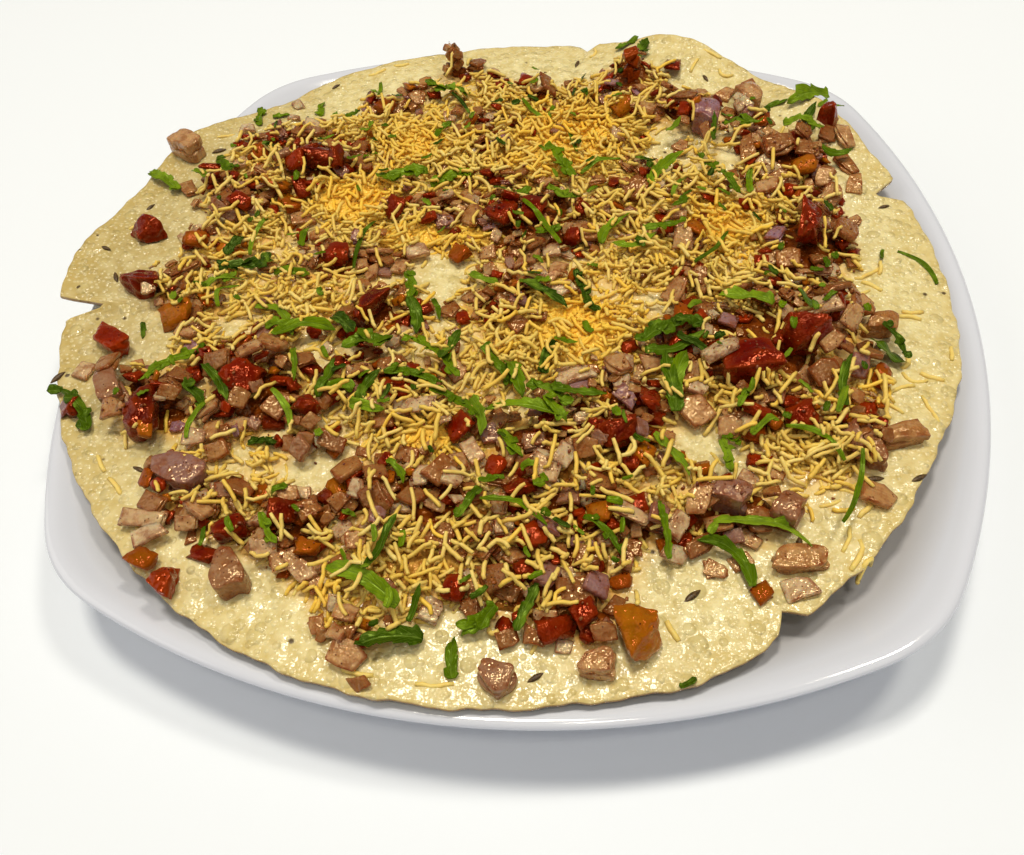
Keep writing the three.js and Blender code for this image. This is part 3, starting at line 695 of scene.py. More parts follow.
masalaPatches = (
    (-68, 46, 14, 8, 10, 1.0), (-90, 30, 14, 7, -20, 0.9), (-88, 58, 10, 7, 0, 0.6),
    (-112, 50, 7, 6, -30, 0.8), (-53, 79, 9, 5, -10, 0.8), (-44, 86, 5, 7, 0, 0.5),
    (-31, 104, 6, 7, 0, 1.4), (-16, 95, 5, 5, 0, 0.7), (-6, 91, 5, 6, 0, 0.9),
    (2, 84, 8, 10, 0, 0.8), (-12, 64, 9, 13, 0, 0.8), (-4, 22, 10, 18, 0, 1.0),
    (-22, 24, 9, 10, 0, 0.7), (-38, 26, 6, 6, 0, 0.7), (-98, 8, 9, 6, 0, 0.4),
    (8, 22, 9, 14, 0, 0.9), (-50, 2, 14, 8, 0, 0.8), (29, 100, 7, 9, 0, 1.2),
    (43, 98, 5, 8, 0, 0.9), (47, 80, 9, 9, 0, 0.9), (25, 86, 6, 8, 0, 0.7),
    (70, 84, 9, 9, -15, 0.8), (82, 53, 16, 9, -10, 1.3), (93, 68, 6, 10, 0, 1.2),
    (96, 50, 6, 11, 0, 0.8), (80, 15, 11, 14, 0, 1.2), (90, 15, 6, 7, 0, 0.8),
    (48, 17, 8, 6, 0, 0.6), (32, 38, 8, 6, 0, 0.6), (18, 18, 6, 6, 0, 0.5),
    (-104, -12, 10, 9, 0, 0.6), (-106, -34, 8, 6, 0, 0.5), (-98, -48, 8, 8, 0, 1.1),
    (-86, -56, 9, 9, 0, 0.9), (-76, -38, 8, 7, 0, 0.8), (-90, -22, 7, 6, 0, 0.5),
    (-60, -48, 10, 11, 0, 1.0), (-64, -28, 8, 6, 0, 0.5), (-38, -18, 8, 9, 0, 0.8),
    (-30, -42, 14, 7, 0, 0.9), (-46, -62, 6, 5, 0, 0.8), (-30, -74, 8, 7, 0, 1.0),
    (-12, -72, 9, 6, 0, 1.0), (-42, -86, 9, 8, 0, 0.9), (-70, -78, 11, 9, -20, 0.8),
    (-57, -92, 11, 7, 0, 0.8), (-67, -99, 5, 4, 0, 0.7), (-38, -100, 7, 6, 0, 0.5),
    (-25, -110, 7, 6, 0, 0.6), (-10, -85, 13, 9, 0, 0.9), (14, -90, 15, 13, 0, 1.3),
    (32, -107, 9, 6, 0, 1.0), (7, -113, 5, 4, 0, 0.6), (30, -50, 11, 13, 0, 1.2),
    (12, -60, 13, 8, 0, 0.9), (-5, -15, 8, 8, 0, 0.7), (62, -25, 17, 13, 0, 1.5),
    (88, -12, 9, 9, 0, 1.0), (48, -3, 7, 5, 0, 0.7), (64, -46, 11, 7, 0, 1.0),
    (88, -50, 9, 9, 0, 0.9), (58, -75, 13, 7, 0, 1.0), (43, -82, 9, 5, 0, 0.7),
    (70, -87, 7, 5, 0, 0.5), (22, -75, 13, 7, 0, 0.9), (5, -5, 11, 7, 0, 0.6),
    (75, -5, 11, 8, 0, 0.9),
)
sevPatches = (
    (-54, 30, 14, 9, 0, 1.3), (-40, 60, 12, 13, 0, 1.0), (-20, 48, 22, 14, 0, 0.9),
    (-35, 15, 20, 8, 0, 0.9), (-62, 64, 12, 8, 0, 0.7), (-82, 45, 12, 10, 0, 0.5),
    (-80, 15, 12, 8, 0, 0.8), (-95, 32, 9, 7, 0, 0.3), (12, 68, 20, 16, 0, 1.2),
    (10, 50, 14, 8, 0, 1.0), (-12, 82, 14, 8, 0, 0.8), (28, 25, 14, 10, 0, 0.9),
    (55, 22, 14, 10, 0, 1.0), (50, 38, 11, 8, 0, 0.6), (72, 38, 10, 6, 0, 0.5),
    (40, 0, 17, 11, 0, 1.0), (15, -25, 18, 12, 0, 1.2), (-58, -15, 16, 8, 0, 1.0),
    (-88, -12, 12, 10, 0, 0.8), (-82, -30, 10, 8, 0, 0.8), (-18, -55, 15, 8, 0, 1.2),
    (-60, -66, 9, 6, 0, 0.6), (-62, -82, 13, 9, 0, 0.7), (-15, -92, 16, 10, 0, 1.5),
    (-35, -105, 9, 7, 0, 0.9), (12, -88, 14, 12, 0, 1.0), (-30, -48, 10, 8, 0, 0.6),
    (24, -60, 12, 10, 0, 0.7), (60, -42, 14, 8, 0, 0.8), (78, -56, 11, 8, 0, 1.3),
    (94, -38, 9, 7, 0, 0.8), (97, 3, 7, 5, 0, 0.5), (65, -8, 14, 7, 0, 0.7),
    (32, -72, 12, 7, 0, 0.8), (44, -60, 8, 6, 0, 0.4), (60, 92, 9, 7, 0, 0.4),
    (40, 95, 8, 9, 0, 0.3), (0, -35, 14, 8, 0, 0.6), (75, 25, 10, 10, 0, 0.6),
)
deepSevPatches = (
    (-52, 28, 14, 9, 0, 1.0), (-38, 56, 12, 10, 0, 0.7), (12, 66, 18, 14, 0, 0.8),
    (56, 20, 12, 12, 0, 0.8), (-35, -106, 8, 6, 0, 0.9), (-15, -60, 10, 5, 0, 0.6),
    (-25, 12, 18, 6, 0, 0.6), (96, -40, 10, 7, 0, 0.5), (20, -20, 14, 14, 0, 0.8),
    (10, 48, 14, 7, 0, 0.6),
)
barePatches = (
    (42, 59, 5.5, 11, 0, 1.0), (62, 54, 3.5, 6, 0, 1.0), (-20, -3, 7, 11, 10, 1.0),
    (40, -9, 8, 5.5, -40, 0.8), (50, -57, 8, 6, 10, 1.0), (-40, -70, 9, 6, -15, 1.0),
    (-60, -66, 8, 4, 20, 0.7), (-76, -26, 8, 5, -35, 0.8), (50, -98, 10, 9, 20, 1.0),
    (-62, -72, 6, 3, 0, 0.6), (-105, 22, 12, 6, -40, 0.7), (-100, -30, 6, 4, 0, 0.8),
    (-82, -68, 8, 6, -30, 0.9), (72, -76, 6, 9, 20, 0.7), (-66, 76, 5, 6, 0, 0.9),
    (-75, 66, 4, 3, 0, 0.9), (98, 20, 8, 14, 0, 0.7), (14, -113, 12, 5, 0, 0.7),
    (78, 74, 4, 5, 0, 0.9), (-46, -40, 5, 3, 0, 0.6), (25, -8, 5, 4, 0, 0.5),
    (-115, -25, 8, 12, 0, 1.0), (-35, -5, 4, 3, 0, 0.5),
)
heap = {
    "listedLevel": 30,
    "radius": 103.0,
    # bearing, amount and spread of each bump in its outline
    "lobes": (
        (-2, -9, 9), (38, 6, 9), (58, -9, 6), (72, 7, 6), (88, -11, 7), (105, 5, 5), (118, -7, 7),
        (148, 5, 8), (178, -9, 7), (-163, -17, 6), (-147, 6, 7), (-128, 5, 7), (-99, 11, 6),
        (-75, 9, 7), (-61, -10, 5), (-38, 8, 12),
    ),
    # x, y, spread, height
    "mounds": (
        (-60, 42, 20, 2.6), (-5, 55, 26, 3.2), (0, 18, 18, 2.6), (78, 48, 13, 4), (88, 70, 9, 3.5),
        (31, 99, 9, 5), (-33, 101, 7, 5.5), (-12, 88, 10, 2.5), (-84, 52, 16, 2.2),
        (-58, -5, 20, 2.6), (-94, -52, 11, 3), (-58, -50, 14, 2.6), (-28, -36, 18, 2.6),
        (10, -50, 20, 3.2), (68, -26, 16, 4.4), (80, 12, 13, 3.6), (-14, -92, 20, 3.2),
        (24, -96, 13, 3), (62, -76, 11, 2), (44, 74, 12, 2),
    ),
}


# Spots are listed as the camera sees them on one level. This moves one to where it is seen when it
# lies this high above the wafer.
def seatSpot(x, y, above):
    eye = view["place"]
    seatX, seatY = x, y
    for _ in range(5):
        height = readField(fieldHeight, np.array(seatX), np.array(seatY)) + above
        share = float((eye[2] - height) / (eye[2] - heap["listedLevel"]))
        seatX, seatY = eye[0] + (x - eye[0]) * share, eye[1] + (y - eye[1]) * share
    return seatX, seatY


# The patches of one list as a map
def patchMap(patches):
    total = np.zeros_like(fieldX)
    for listedX, listedY, along, across, turn, strength in patches:
        x, y = seatSpot(listedX, listedY, 1.5)
        part = windowOf(x, y, 2.6 * max(along, across))
        dx, dy = fieldX[part] - x, fieldY[part] - y
        c, s = math.cos(math.radians(turn)), math.sin(math.radians(turn))
        off = ((dx * c + dy * s) / along) ** 2 + ((dy * c - dx * s) / across) ** 2
        total[part] += strength * np.exp(-(off**1.3))
    return total


# 1 inside the heap's uneven outline, 0 outside
def heapCover():
    bearing = np.degrees(np.arctan2(fieldY - wafer["y"], fieldX - wafer["x"]))
    off = np.hypot(fieldX - wafer["x"], fieldY - wafer["y"])
    edge = heap["radius"] + sumOfBumps(heap["lobes"], bearing) + 4
    return np.clip((edge - off) / 6, 0, 1)


def moundHeight():
    total = np.zeros_like(fieldX)
    for x, y, spread, height in heap["mounds"]:
        total += height * np.exp(-((fieldX - x) ** 2 + (fieldY - y) ** 2) / spread**2)
    return total


def softened(values, rounds):
    for _ in range(rounds):
        above, below = np.roll(values, 1, 0), np.roll(values, -1, 0)
        values = (values + above + below + np.roll(values, 1, 1) + np.roll(values, -1, 1)) / 5
    return values


bareMap = np.clip(1 - 1.15 * patchMap(barePatches), 0, 1)
coverMap = heapCover()
masalaMap = (np.clip(patchMap(masalaPatches), 0, 1.3) + 0.05) * bareMap * coverMap
sevMap = (np.clip(patchMap(sevPatches), 0, 1.6) + 0.22) * bareMap * coverMap
deepMap = np.clip(patchMap(deepSevPatches), 0, 1)
oilMap = softened(np.clip(2 * masalaMap + sevMap - 0.1, 0, 1), 12)
bedMap = np.clip((masalaMap + 0.4 * sevMap + 0.5 * deepMap * coverMap * bareMap - 0.45) / 0.5, 0, 1)


# Bed of wet masala paste and crushed noodle under the diced vegetables

bed = {
    "cell": 1.0,
    "depth": 0.45,
    "mound": 0.5,  # share of the mounds' height
    "mush": 0.5,
    "under": 0.12,  # how far mush stays below the noodles in it
    "lump": 0.7,
    "least": 0.3,
    "sink": 0.25,
    "thinnest": 0.3,
}


# Thickness of the paste where it is full
def bedDepth():
    rng = np.random.default_rng(8)
    rough = softened(rng.uniform(-1, 1, fieldX.shape), 6)
    rough /= np.abs(rough).max()
    return bed["depth"] + bed["mound"] * moundHeight() + bed["lump"] * rough


bedTop = waferTop + np.where(bedMap > bed["least"], (bedDepth() + bed["mush"] * deepMap) * bedMap, 0)


# In soaked places mush stands almost as high as the noodles that lie in it
def pasteSurface():
    soaked = np.clip((deepMap - 0.15) / 0.3, 0, 1) * coverMap * bareMap
    return bedTop + soaked * np.maximum(softened(ground, 3) - bed["under"] - bedTop, 0)


def makeBed():
    surface = pasteSurface()
    cells = int(2 * wafer["radius"] / bed["cell"])
    bm = bmesh.new()
    bmesh.ops.create_grid(bm, x_segments=cells, y_segments=cells, size=wafer["radius"])
    bmesh.ops.translate(bm, verts=bm.verts, vec=(wafer["x"], wafer["y"], 0))
    bareFaces = []
    for face in bm.faces:
        middle = face.calc_center_median()
        if bedMap[cellOf(np.array(middle.y)), cellOf(np.array(middle.x))] < bed["least"]:
            bareFaces.append(face)
    bmesh.ops.delete(bm, geom=bareFaces, context="FACES")
    loose = [vert for vert in bm.verts if len(vert.link_faces) < 2]
    bmesh.ops.delete(bm, geom=loose, context="VERTS")
    for _ in range(3):
        rim = [vert for vert in bm.verts if vert.is_boundary]
        bmesh.ops.smooth_vert(bm, verts=rim, factor=0.5, use_axis_x=True, use_axis_y=True)
    made = bmesh.ops.extrude_face_region(bm, geom=list(bm.faces), use_keep_orig=True)
    raised = {item for item in made["geom"] if isinstance(item, bmesh.types.BMVert)}
    upper = np.array([vert in raised for vert in bm.verts])
    places = readVerts(bm)
    x, y = places[:, 0], places[:, 1]
    foot = readField(waferTop, x, y) - bed["sink"]
    places[:, 2] = np.where(upper, np.maximum(readField(surface, x, y), foot + bed["thinnest"]), foot)
    writeVerts(bm.verts, places)
    bmesh.ops.recalc_face_normals(bm, faces=bm.faces)
    mesh = meshFrom(bm, "masalaPaste")
    setTone(mesh, "masala", readField(np.clip(masalaMap - 0.6 * sevMap, 0, 1), x, y))
    setTone(mesh, "soaked", readField(deepMap, x, y))
    addPiece("masalaPaste", mesh, pasteMaterial(), ["topping"])
    print("paste made,", len(mesh.polygons), "faces")


def pasteMaterial():
    sockets = {"Roughness": 0.15, "Specular IOR Level": 0.5, "Specular Tint": (1.0, 0.5, 0.2, 1.0)}
    material, tree, shader = newMaterial("masalaPaste", sockets)
    vector = objectPlace(tree)
    # The dark tones are partly the masala's own colour and partly painted shade in the gaps between the
    # pieces
    dark = cloudy(tree, vector, paint(70, 22, 2), paint(124, 58, 9), 2.2, 3.0)
    light = cloudy(tree, vector, paint(214, 168, 78), paint(140, 86, 20), 1.8, 3.0)
    colour = mixPaint(tree, ranged(tree, attribute(tree, "masala"), 0.05, 0.4), light, dark)
    mush = cloudy(tree, vector, paint(255, 218, 100), paint(238, 186, 66), 1.6, 3.0)
    colour = mixPaint(tree, ranged(tree, attribute(tree, "soaked"), 0.12, 0.5), colour, mush)
    colour = spiced(tree, vector, colour, paint(66, 20, 4), 0.9, 0.25)
    joinSkin(tree, shader, colour, lumpy(tree, vector, 1.8, 0.9, detail=1.5))
    return material


# Many small things as one joined mesh

# 1 at a shape's edges and corners, 0 on its flat sides
def rimsOf(bm):
    bm.normal_update()
    return np.clip([(vert.calc_shell_factor() - 1.02) * 12 for vert in bm.verts], 0, 1)


# A small shape made once: its places, its faces and its rims
def shapeFrom(bm):
    bm.verts.ensure_lookup_table()
    bm.verts.index_update()
    places = readVerts(bm)
    faces = [[vert.index for vert in face.verts] for face in bm.faces]
    rims = rimsOf(bm)
    bm.free()
    return places, faces, rims


# Copies of shapes in one mesh: parts holds (places of every copy, the shape, tones of the copies)
def joinCopies(name, parts):
    places, corners, starts, tones, rims, stripes = [], [], [], [], [], []
    placeCount = 0
    cornerCount = 0
    for copies, (shapePlaces, shapeFaces, shapeRims), tone in parts:
        count, size = copies.shape[:2]
        if not count:
            continue
        flat = np.array([corner for face in shapeFaces for corner in face])
        sides = np.array([len(face) for face in shapeFaces])
        first = np.concatenate([[0], np.cumsum(sides)[:-1]])
        each = np.arange(count)[:, None]
        corners.append((flat[None] + placeCount + size * each).ravel())
        starts.append((first[None] + cornerCount + len(flat) * each).ravel())
        places.append(copies.reshape(-1, 3))
        tones.append(np.repeat(tone, size))
        rims.append(np.tile(shapeRims, count))
        stripes.append((shapePlaces[:, 1][None] * 4 + 50 * np.asarray(tone)[:, None]).ravel())
        placeCount += count * size
        cornerCount += count * len(flat)
    starts = np.concatenate(starts)
    mesh = bpy.data.meshes.new(name)
    mesh.vertices.add(placeCount)
    mesh.vertices.foreach_set("co", (np.concatenate(places) * mm).astype(np.float32).ravel())
    mesh.loops.add(cornerCount)
    mesh.loops.foreach_set("vertex_index", np.concatenate(corners).astype(np.int32))
    mesh.polygons.add(len(starts))
    mesh.polygons.foreach_set("loop_start", starts.astype(np.int32))
    mesh.update(calc_edges=True)
    mesh.validate()
    setTone(mesh, "tone", np.concatenate(tones))
    setTone(mesh, "rim", np.concatenate(rims))
    setTone(mesh, "stripe", np.concatenate(stripes))
    return mesh


# Spots drawn from a density map
def drawSpots(density, count, rng):
    weights = np.cumsum(density.ravel())
    picks = np.searchsorted(weights, rng.random(count) * weights[-1])
    rows, columns = np.unravel_index(picks, density.shape)
    jitter = (rng.random((2, count)) - 0.5) * field["step"]
    return fieldLine[columns] + jitter[0], fieldLine[rows] + jitter[1]


# The height of whatever lies on top at each cell so far
ground = bedTop.copy()


laying = {"steepest": 0.5, "settle": 0.35}


# Lays a box-like thing of these half sizes on the ground at a spot, leaning as the ground does, and
# raises the ground under it. Returns its turn as a matrix and its middle.
def layBox(x, y, turn, halves):
    along, across, high = halves
    steepest = laying["steepest"]
    c, s = math.cos(turn), math.sin(turn)
    u, v = np.meshgrid(np.linspace(-0.8, 0.8, 4), np.linspace(-0.8, 0.8, 4))
    u, v = u.ravel() * along, v.ravel() * across
    heights = ground[cellOf(y + u * s + v * c), cellOf(x + u * c - v * s)]
    mean = heights.mean()
    slopeU = float(np.clip((u * (heights - mean)).sum() / (u * u).sum(), -steepest, steepest))
    slopeV = float(np.clip((v * (heights - mean)).sum() / (v * v).sum(), -steepest, steepest))
    left = heights - mean - slopeU * u - slopeV * v
    seat = mean + (1 - laying["settle"]) * left.max()
    tilt = Matrix.Rotation(turn, 3, "Z") @ Matrix.Rotation(math.atan(slopeV), 3, "X")
    tilt = tilt @ Matrix.Rotation(-math.atan(slopeU), 3, "Y")
    middle = np.array([x, y, seat + high])
    part = windowOf(x, y, 1.2 * max(along, across) + 0.5)
    dx, dy = fieldX[part] - x, fieldY[part] - y
    inU, inV = dx * c + dy * s, dy * c - dx * s
    covered = (np.abs(inU) < along * 0.92) & (np.abs(inV) < across * 0.92)
    top = seat + 2 * high + slopeU * inU + slopeV * inV
    ground[part] = np.where(covered, np.maximum(ground[part], top), ground[part])
    return np.array(tilt), middle


# A shape scaled to fill a box of one unit
def unitShape(bm):
    places, faces, rims = shapeFrom(bm)
    low, high = places.min(0), places.max(0)
    return (places - (low + high) / 2) / (high - low), faces, rims


# How high what lies on the wafer stands at a listed spot
def riseAt(x, y):
    spot = seatSpot(x, y, 2.0)
    return float(readField(ground, *spot) - readField(fieldHeight, *spot))


# Of some spots the one where the ground stands least above the wafer, and how far it is over the
# limit
def lowestSpot(spots):
    rows, columns = cellOf(spots[:, 1]), cellOf(spots[:, 0])
    rise = ground[rows, columns] - waferTop[rows, columns]
    best = int(np.argmin(rise))
    return spots[best], rise[best] - heapLimit[rows[best], columns[best]]


# Chopped onion and tomato

chopped = {
    "onionShapes": 10,
    "tomatoShapes": 8,
    "bend": 0.22,
    "onions": 800,
    "tomatoes": 330,
    "choices": 5,
    "onionSize": (2.4, 6.8),
    "tomatoSize": (2.6, 6.5),
    # least and most tone of each kind, and whether it is tomato
    "kinds": {
        "l": (0.0, 0.12, False),
        "b": (0.2, 0.45, False),
        "o": (0.5, 0.75, False),
        "w": (0.82, 1.0, False),
        "t": (0.0, 0.55, True),
        "a": (0.8, 1.0, True),
    },
    # share of each kind among the scattered pieces
    "onionMix": (("l", "b", "o", "w"), (0.1, 0.42, 0.34, 0.14)),
    "tomatoMix": (("t", "a"), (0.72, 0.28)),
    # thickness as a share of width, how much thicker tomato is, and how far a piece leans
    "thick": (0.3, 0.44),
    "tomatoThicker": 1.25,
    "lean": 0.14,
    # x, y, length, width, turn and kind: l lilac, b brown, o tan, w pale onion (partly a painted
    # highlight), t red, a amber tomato
    "listed": (
        (-96, -4, 10, 6, 30, "b"), (-91, -24, 11, 7, 20, "a"), (-86, -29, 8, 5, 0, "o"),
        (-84, -34, 5, 4, 0, "l"), (-76, -38.5, 10, 7, 10, "b"), (-111, -43, 6, 5, 70, "w"),
        (-102, -44, 10, 7, -60, "b"), (-109, -56, 7, 6, 0, "t"), (-94.5, -59, 7, 6, 0, "o"),
        (-85, -49, 6, 4, 0, "b"), (-81, -47, 7, 5, 0, "b"), (-71, -56, 8, 7, 20, "o"),
        (-72.5, -64, 7, 6, 10, "w"), (-66, -67, 6, 5, 30, "o"), (-65, -27.5, 7, 4, 0, "l"),
        (-69, -15, 8, 5, 20, "l"), (-66.5, -16, 4, 3, -50, "w"), (-61, -33, 8, 6, 0, "o"),
        (-66, -36, 7, 5, 30, "o"), (-53, -36, 7, 6, 40, "b"), (-55, -51, 8, 6, 60, "b"),
        (-43.5, -38, 6, 5, 10, "t"), (-36, -38, 6, 5, 0, "o"), (-29, -37, 7, 5, 20, "b"),
        (-37.5, -46, 7, 5, -60, "l"), (-26, -44, 8, 6, 0, "t"), (-28.5, -49, 6, 6, 45, "o"),
        (-44.5, -56.5, 4, 4, 30, "w"), (-20, -51, 12, 5, 8, "w"), (-27, -55, 6, 5, 0, "b"),
        (-45, -62.5, 6, 4, 0, "b"), (-44.5, -66.5, 6, 5, 70, "l"), (-38.5, -62, 7, 4.5, -10, "b"),
        (-32, -71, 9, 6, 60, "b"), (-26, -70, 6, 5, 20, "b"), (-30.5, -73.5, 5, 4, 80, "w"),
        (-33, -78, 5, 4, 45, "b"), (-25, -77, 8, 7, -50, "b"), (-24, -80, 4, 4, 0, "l"),
        (-27, -88, 5, 4, 10, "o"), (-15, -70, 6, 4, 80, "w"), (-10.5, -69, 8, 6, 60, "b"),
        (-7, -72, 6, 5, 60, "w"), (-16, -76.5, 7, 5, -20, "b"), (-8, -56, 8, 7, 40, "t"),
        (-12, -55, 5, 4, 0, "w"), (-4, -62, 8, 4.5, -60, "w"), (-61, -77, 5, 4.5, 20, "l"),
        (-56, -78, 7, 5, -10, "b"), (-76, -83, 8, 5, -12, "b"), (-77, -87, 12, 4.6, 3, "w"),
        (-74, -91, 9, 5, 25, "w"), (-68, -86, 6, 4, 10, "o"), (-65, -83, 7, 5, -30, "o"),
        (-73.5, -97, 7, 5, -20, "a"), (-60.5, -94, 8, 5, -20, "t"), (-45, -83, 8, 6, 10, "t"),
        (-38, -83, 6, 5, 30, "b"), (-47, -92, 6, 4.5, 10, "w"), (-42, -94, 7, 5, 20, "o"),
        (-37.5, -96, 6, 4.5, -30, "w"), (-37, -91, 6, 5, 0, "a"), (-25, -106, 6, 4, 10, "o"),
        (-22.5, -115, 8, 6, -20, "o"), (-19.5, -120, 5, 4, 40, "b"), (-26, -110, 5, 4, -20, "o"),
        (-7.5, -103, 6, 5, 80, "w"), (-3, -99, 6, 6, 0, "t"), (-18, -99, 5, 4, 20, "l"),
        (-8, -86, 8, 6, 20, "b"), (-45, -78, 5, 4.5, 30, "o"), (-28, -95, 6, 5, 40, "b"),
        (5.5, -3, 6, 4, 0, "l"), (13.5, -7.5, 7, 6, 30, "w"), (2.5, -13, 6, 5, 0, "l"),
        (3, -20, 6, 5, 40, "b"), (8, -18, 5, 4, 0, "b"), (44.5, -6.5, 9, 7, 60, "o"),
        (50, -3, 6, 5, 70, "b"), (46, -14, 8, 5.5, 75, "a"), (62, -3, 6, 6, 20, "b"),
        (67, -8, 6, 5, 30, "b"), (73, -12, 6, 5, 70, "w"), (85.5, -4, 8, 6, 20, "b"),
        (84, -9.5, 8, 6, -10, "w"), (89, -15, 8, 6, 80, "o"), (52, -18, 5, 5, 0, "w"),
        (55, -31.5, 10, 6, 20, "w"), (29.5, -34, 7, 6, -60, "o"), (32, -42, 7, 4.5, -50, "l"),
        (38, -34, 6, 5, 20, "o"), (32, -28, 5, 4, 30, "t"), (37.5, -44, 9, 6, 80, "t"),
        (19, -38.5, 11, 6.5, 10, "w"), (49, -46, 8, 8, 30, "o"), (49, -42, 6, 5, 60, "w"),
        (63, -46, 8, 6, -20, "t"), (74, -46, 8, 7, 20, "t"), (57, -51, 6, 5, 0, "o"),
        (63, -60.5, 6, 4, -10, "t"), (86.5, -51, 9, 5, -70, "l"), (88.5, -32, 7, 5, 80, "l"),
        (94, -34, 8, 5, 70, "a"), (92, -29, 6, 5, 0, "b"), (80, -35, 8, 7, 20, "b"),
        (88.5, -68.5, 8, 6, -15, "o"), (27, -70, 8, 6, 10, "b"), (20, -74, 6, 5, -20, "l"),
        (14, -67, 7, 6, -20, "w"), (27, -76.5, 7, 5, 10, "a"), (34, -77, 9, 4, -20, "w"),
        (40, -78, 5, 5, 0, "l"), (10.5, -58, 6, 5, 20, "l"), (18, -62, 7, 5, 60, "w"),
        (23, -58, 6, 5, 10, "b"), (8.5, -73.5, 8, 5, 30, "t"), (2, -66, 6, 5, 60, "t"),
        (44, -80, 7, 4.5, 70, "w"), (48, -76, 8, 5, 70, "o"), (43.5, -87, 7, 4, -12, "w"),
        (49, -84.5, 8, 4, 35, "b"), (52, -89.5, 6, 4.5, -10, "o"), (57.5, -87, 5, 4, 30, "o"),
        (53, -78, 6, 4.5, 10, "o"), (62, -76, 6, 6, 0, "b"), (61.5, -94, 5, 4, 40, "a"),
        (69.5, -92.5, 8, 5.5, 8, "w"), (25, -88.5, 6, 5, 0, "b"), (12, -84, 8, 6, 20, "t"),
        (16, -82, 6, 4, 0, "l"), (22.5, -97, 8, 7, 10, "b"), (16.5, -93.5, 8, 5, 60, "l"),
        (5, -94.5, 8, 8, 20, "b"), (27.5, -95, 6, 6, 70, "l"), (19, -105.5, 9, 5.5, 10, "t"),
        (25, -103, 6, 5, 40, "t"), (29, -107, 6, 4, 0, "b"), (3, -89, 6, 5, 60, "b"),
        (0, -84, 7, 6, 10, "b"), (6, -83, 5, 4, 20, "w"), (9.5, -108.5, 5, 4, 30, "b"),
        (36.5, -62, 6, 5, 60, "a"), (33, -66, 6, 4, 0, "t"), (-24, 103, 8, 6, 70, "b"),
        (-30, 97, 5, 4, 20, "b"), (-17.5, 96, 5, 4, -60, "t"), (-15, 91, 5, 4, -50, "t"),
        (-6, 92, 7, 5, 80, "t"), (-1.5, 86, 8, 4, -60, "o"), (-46, 89, 7, 4, -60, "a"),
        (-43, 84, 6, 4, -50, "o"), (-53, 79, 9, 5, -20, "a"), (-84, 79, 5, 4, -50, "w"),
        (-83.5, 71, 5, 4, 0, "w"), (-75, 65.5, 6, 5, 0, "w"), (-87, 64, 8, 5, -60, "l"),
        (-87, 58, 5, 4, -60, "t"), (-92, 56, 6, 6, 20, "a"), (-98, 65, 6, 5, 0, "w"),
        (-95, 46, 6, 5, -60, "w"), (-79, 62, 6, 5, 0, "b"), (-73, 61, 7, 4, 0, "l"),
        (-71, 49, 8, 5, 10, "t"), (-63, 49, 8, 6, -60, "t"), (-75, 44, 8, 6, 20, "t"),
        (-53.5, 45, 8, 6, -60, "b"), (-57, 56, 8, 5, 80, "b"), (-80, 46, 7, 6, 10, "l"),
        (-84, 41, 8, 5, 0, "o"), (-104, 43, 8, 2.4, 5, "t"), (-101, 36.5, 8, 5, -30, "t"),
        (-96, 33, 8, 6, -40, "b"), (-108, 33, 8, 5, -50, "o"), (-78, 32, 10, 6, 0, "a"),
        (-71, 34, 8, 5, -60, "t"), (-66, 34, 6, 4, 0, "t"), (-93, 22, 10, 5, -30, "l"),
        (-86, 22, 8, 5, -30, "t"), (-40, 27, 8, 6, 70, "t"), (-24, 31, 5, 5, 0, "w"),
        (-23.5, 21, 6, 5, 20, "l"), (-15, 21, 8, 6, 70, "o"), (-28, 19, 6, 4, 0, "t"),
        (-27, 45, 6, 5, 70, "b"), (-10.5, 63, 6, 5, 80, "l"), (-17, 58, 5, 5, 0, "b"),
        (-14, 75, 5, 5, 0, "t"), (-7, 71, 5, 5, 30, "b"), (-6, 22, 10, 8, 60, "t"),
        (-4, 28, 6, 6, 0, "t"), (-96, 7, 8, 5, 20, "a"), (-66, 18, 8, 5, 10, "o"),
        (-70, 22, 6, 5, 40, "a"), (-53, 5, 8, 7, 0, "t"), (-48, 12, 5, 5, 0, "l"),
        (-40, 5, 8, 5, 20, "o"), (-30, 7, 8, 5, 20, "w"), (-17, 6, 7, 6, -40, "a"),
        (44, 103, 8, 6, 80, "t"), (24, 89, 9, 5, 80, "l"), (35.5, 76, 7, 6, 80, "o"),
        (43, 88, 8, 6, 50, "o"), (44.5, 83, 7, 5, 45, "t"), (48, 78, 8, 7, 80, "b"),
        (53.5, 87, 6, 6, 20, "o"), (61, 88, 7, 6, 60, "o"), (72, 71, 5, 4, 0, "a"),
        (92, 66, 8, 6, 80, "b"), (97, 64, 9, 5, -70, "o"), (84.5, 65, 7, 6, 70, "b"),
        (66.5, 55, 10, 5, 85, "b"), (76, 57, 10, 8, 20, "b"), (85, 56, 8, 6, -20, "b"),
        (83, 49, 9, 6, 10, "a"), (76, 50, 8, 6, 30, "o"), (86, 44, 6, 4, 20, "t"),
        (96, 51, 9, 5, -60, "b"), (97.5, 42, 8, 5, 80, "o"), (90.5, 37, 7, 6, 70, "o"),
        (72, 40, 8, 5, 10, "o"), (46.5, 57, 6, 5, 80, "o"), (26.5, 62, 6, 4.5, -60, "w"),
        (7, 67, 5, 4, 70, "l"), (54.5, 34, 6, 5, 20, "t"), (33, 35, 8, 7, 70, "b"),
        (48, 41, 5, 4, 0, "b"), (45, 25, 8, 6, 80, "o"), (17, 26, 6, 5, 70, "t"),
        (20.5, 15.5, 7, 6, 30, "o"), (31, 23, 6, 5, 70, "l"), (50.5, 19, 8, 6, 70, "a"),
        (46.5, 16, 7, 6, 80, "o"), (15, 14, 6, 5, 0, "t"), (72.5, 18, 8, 5, 70, "l"),
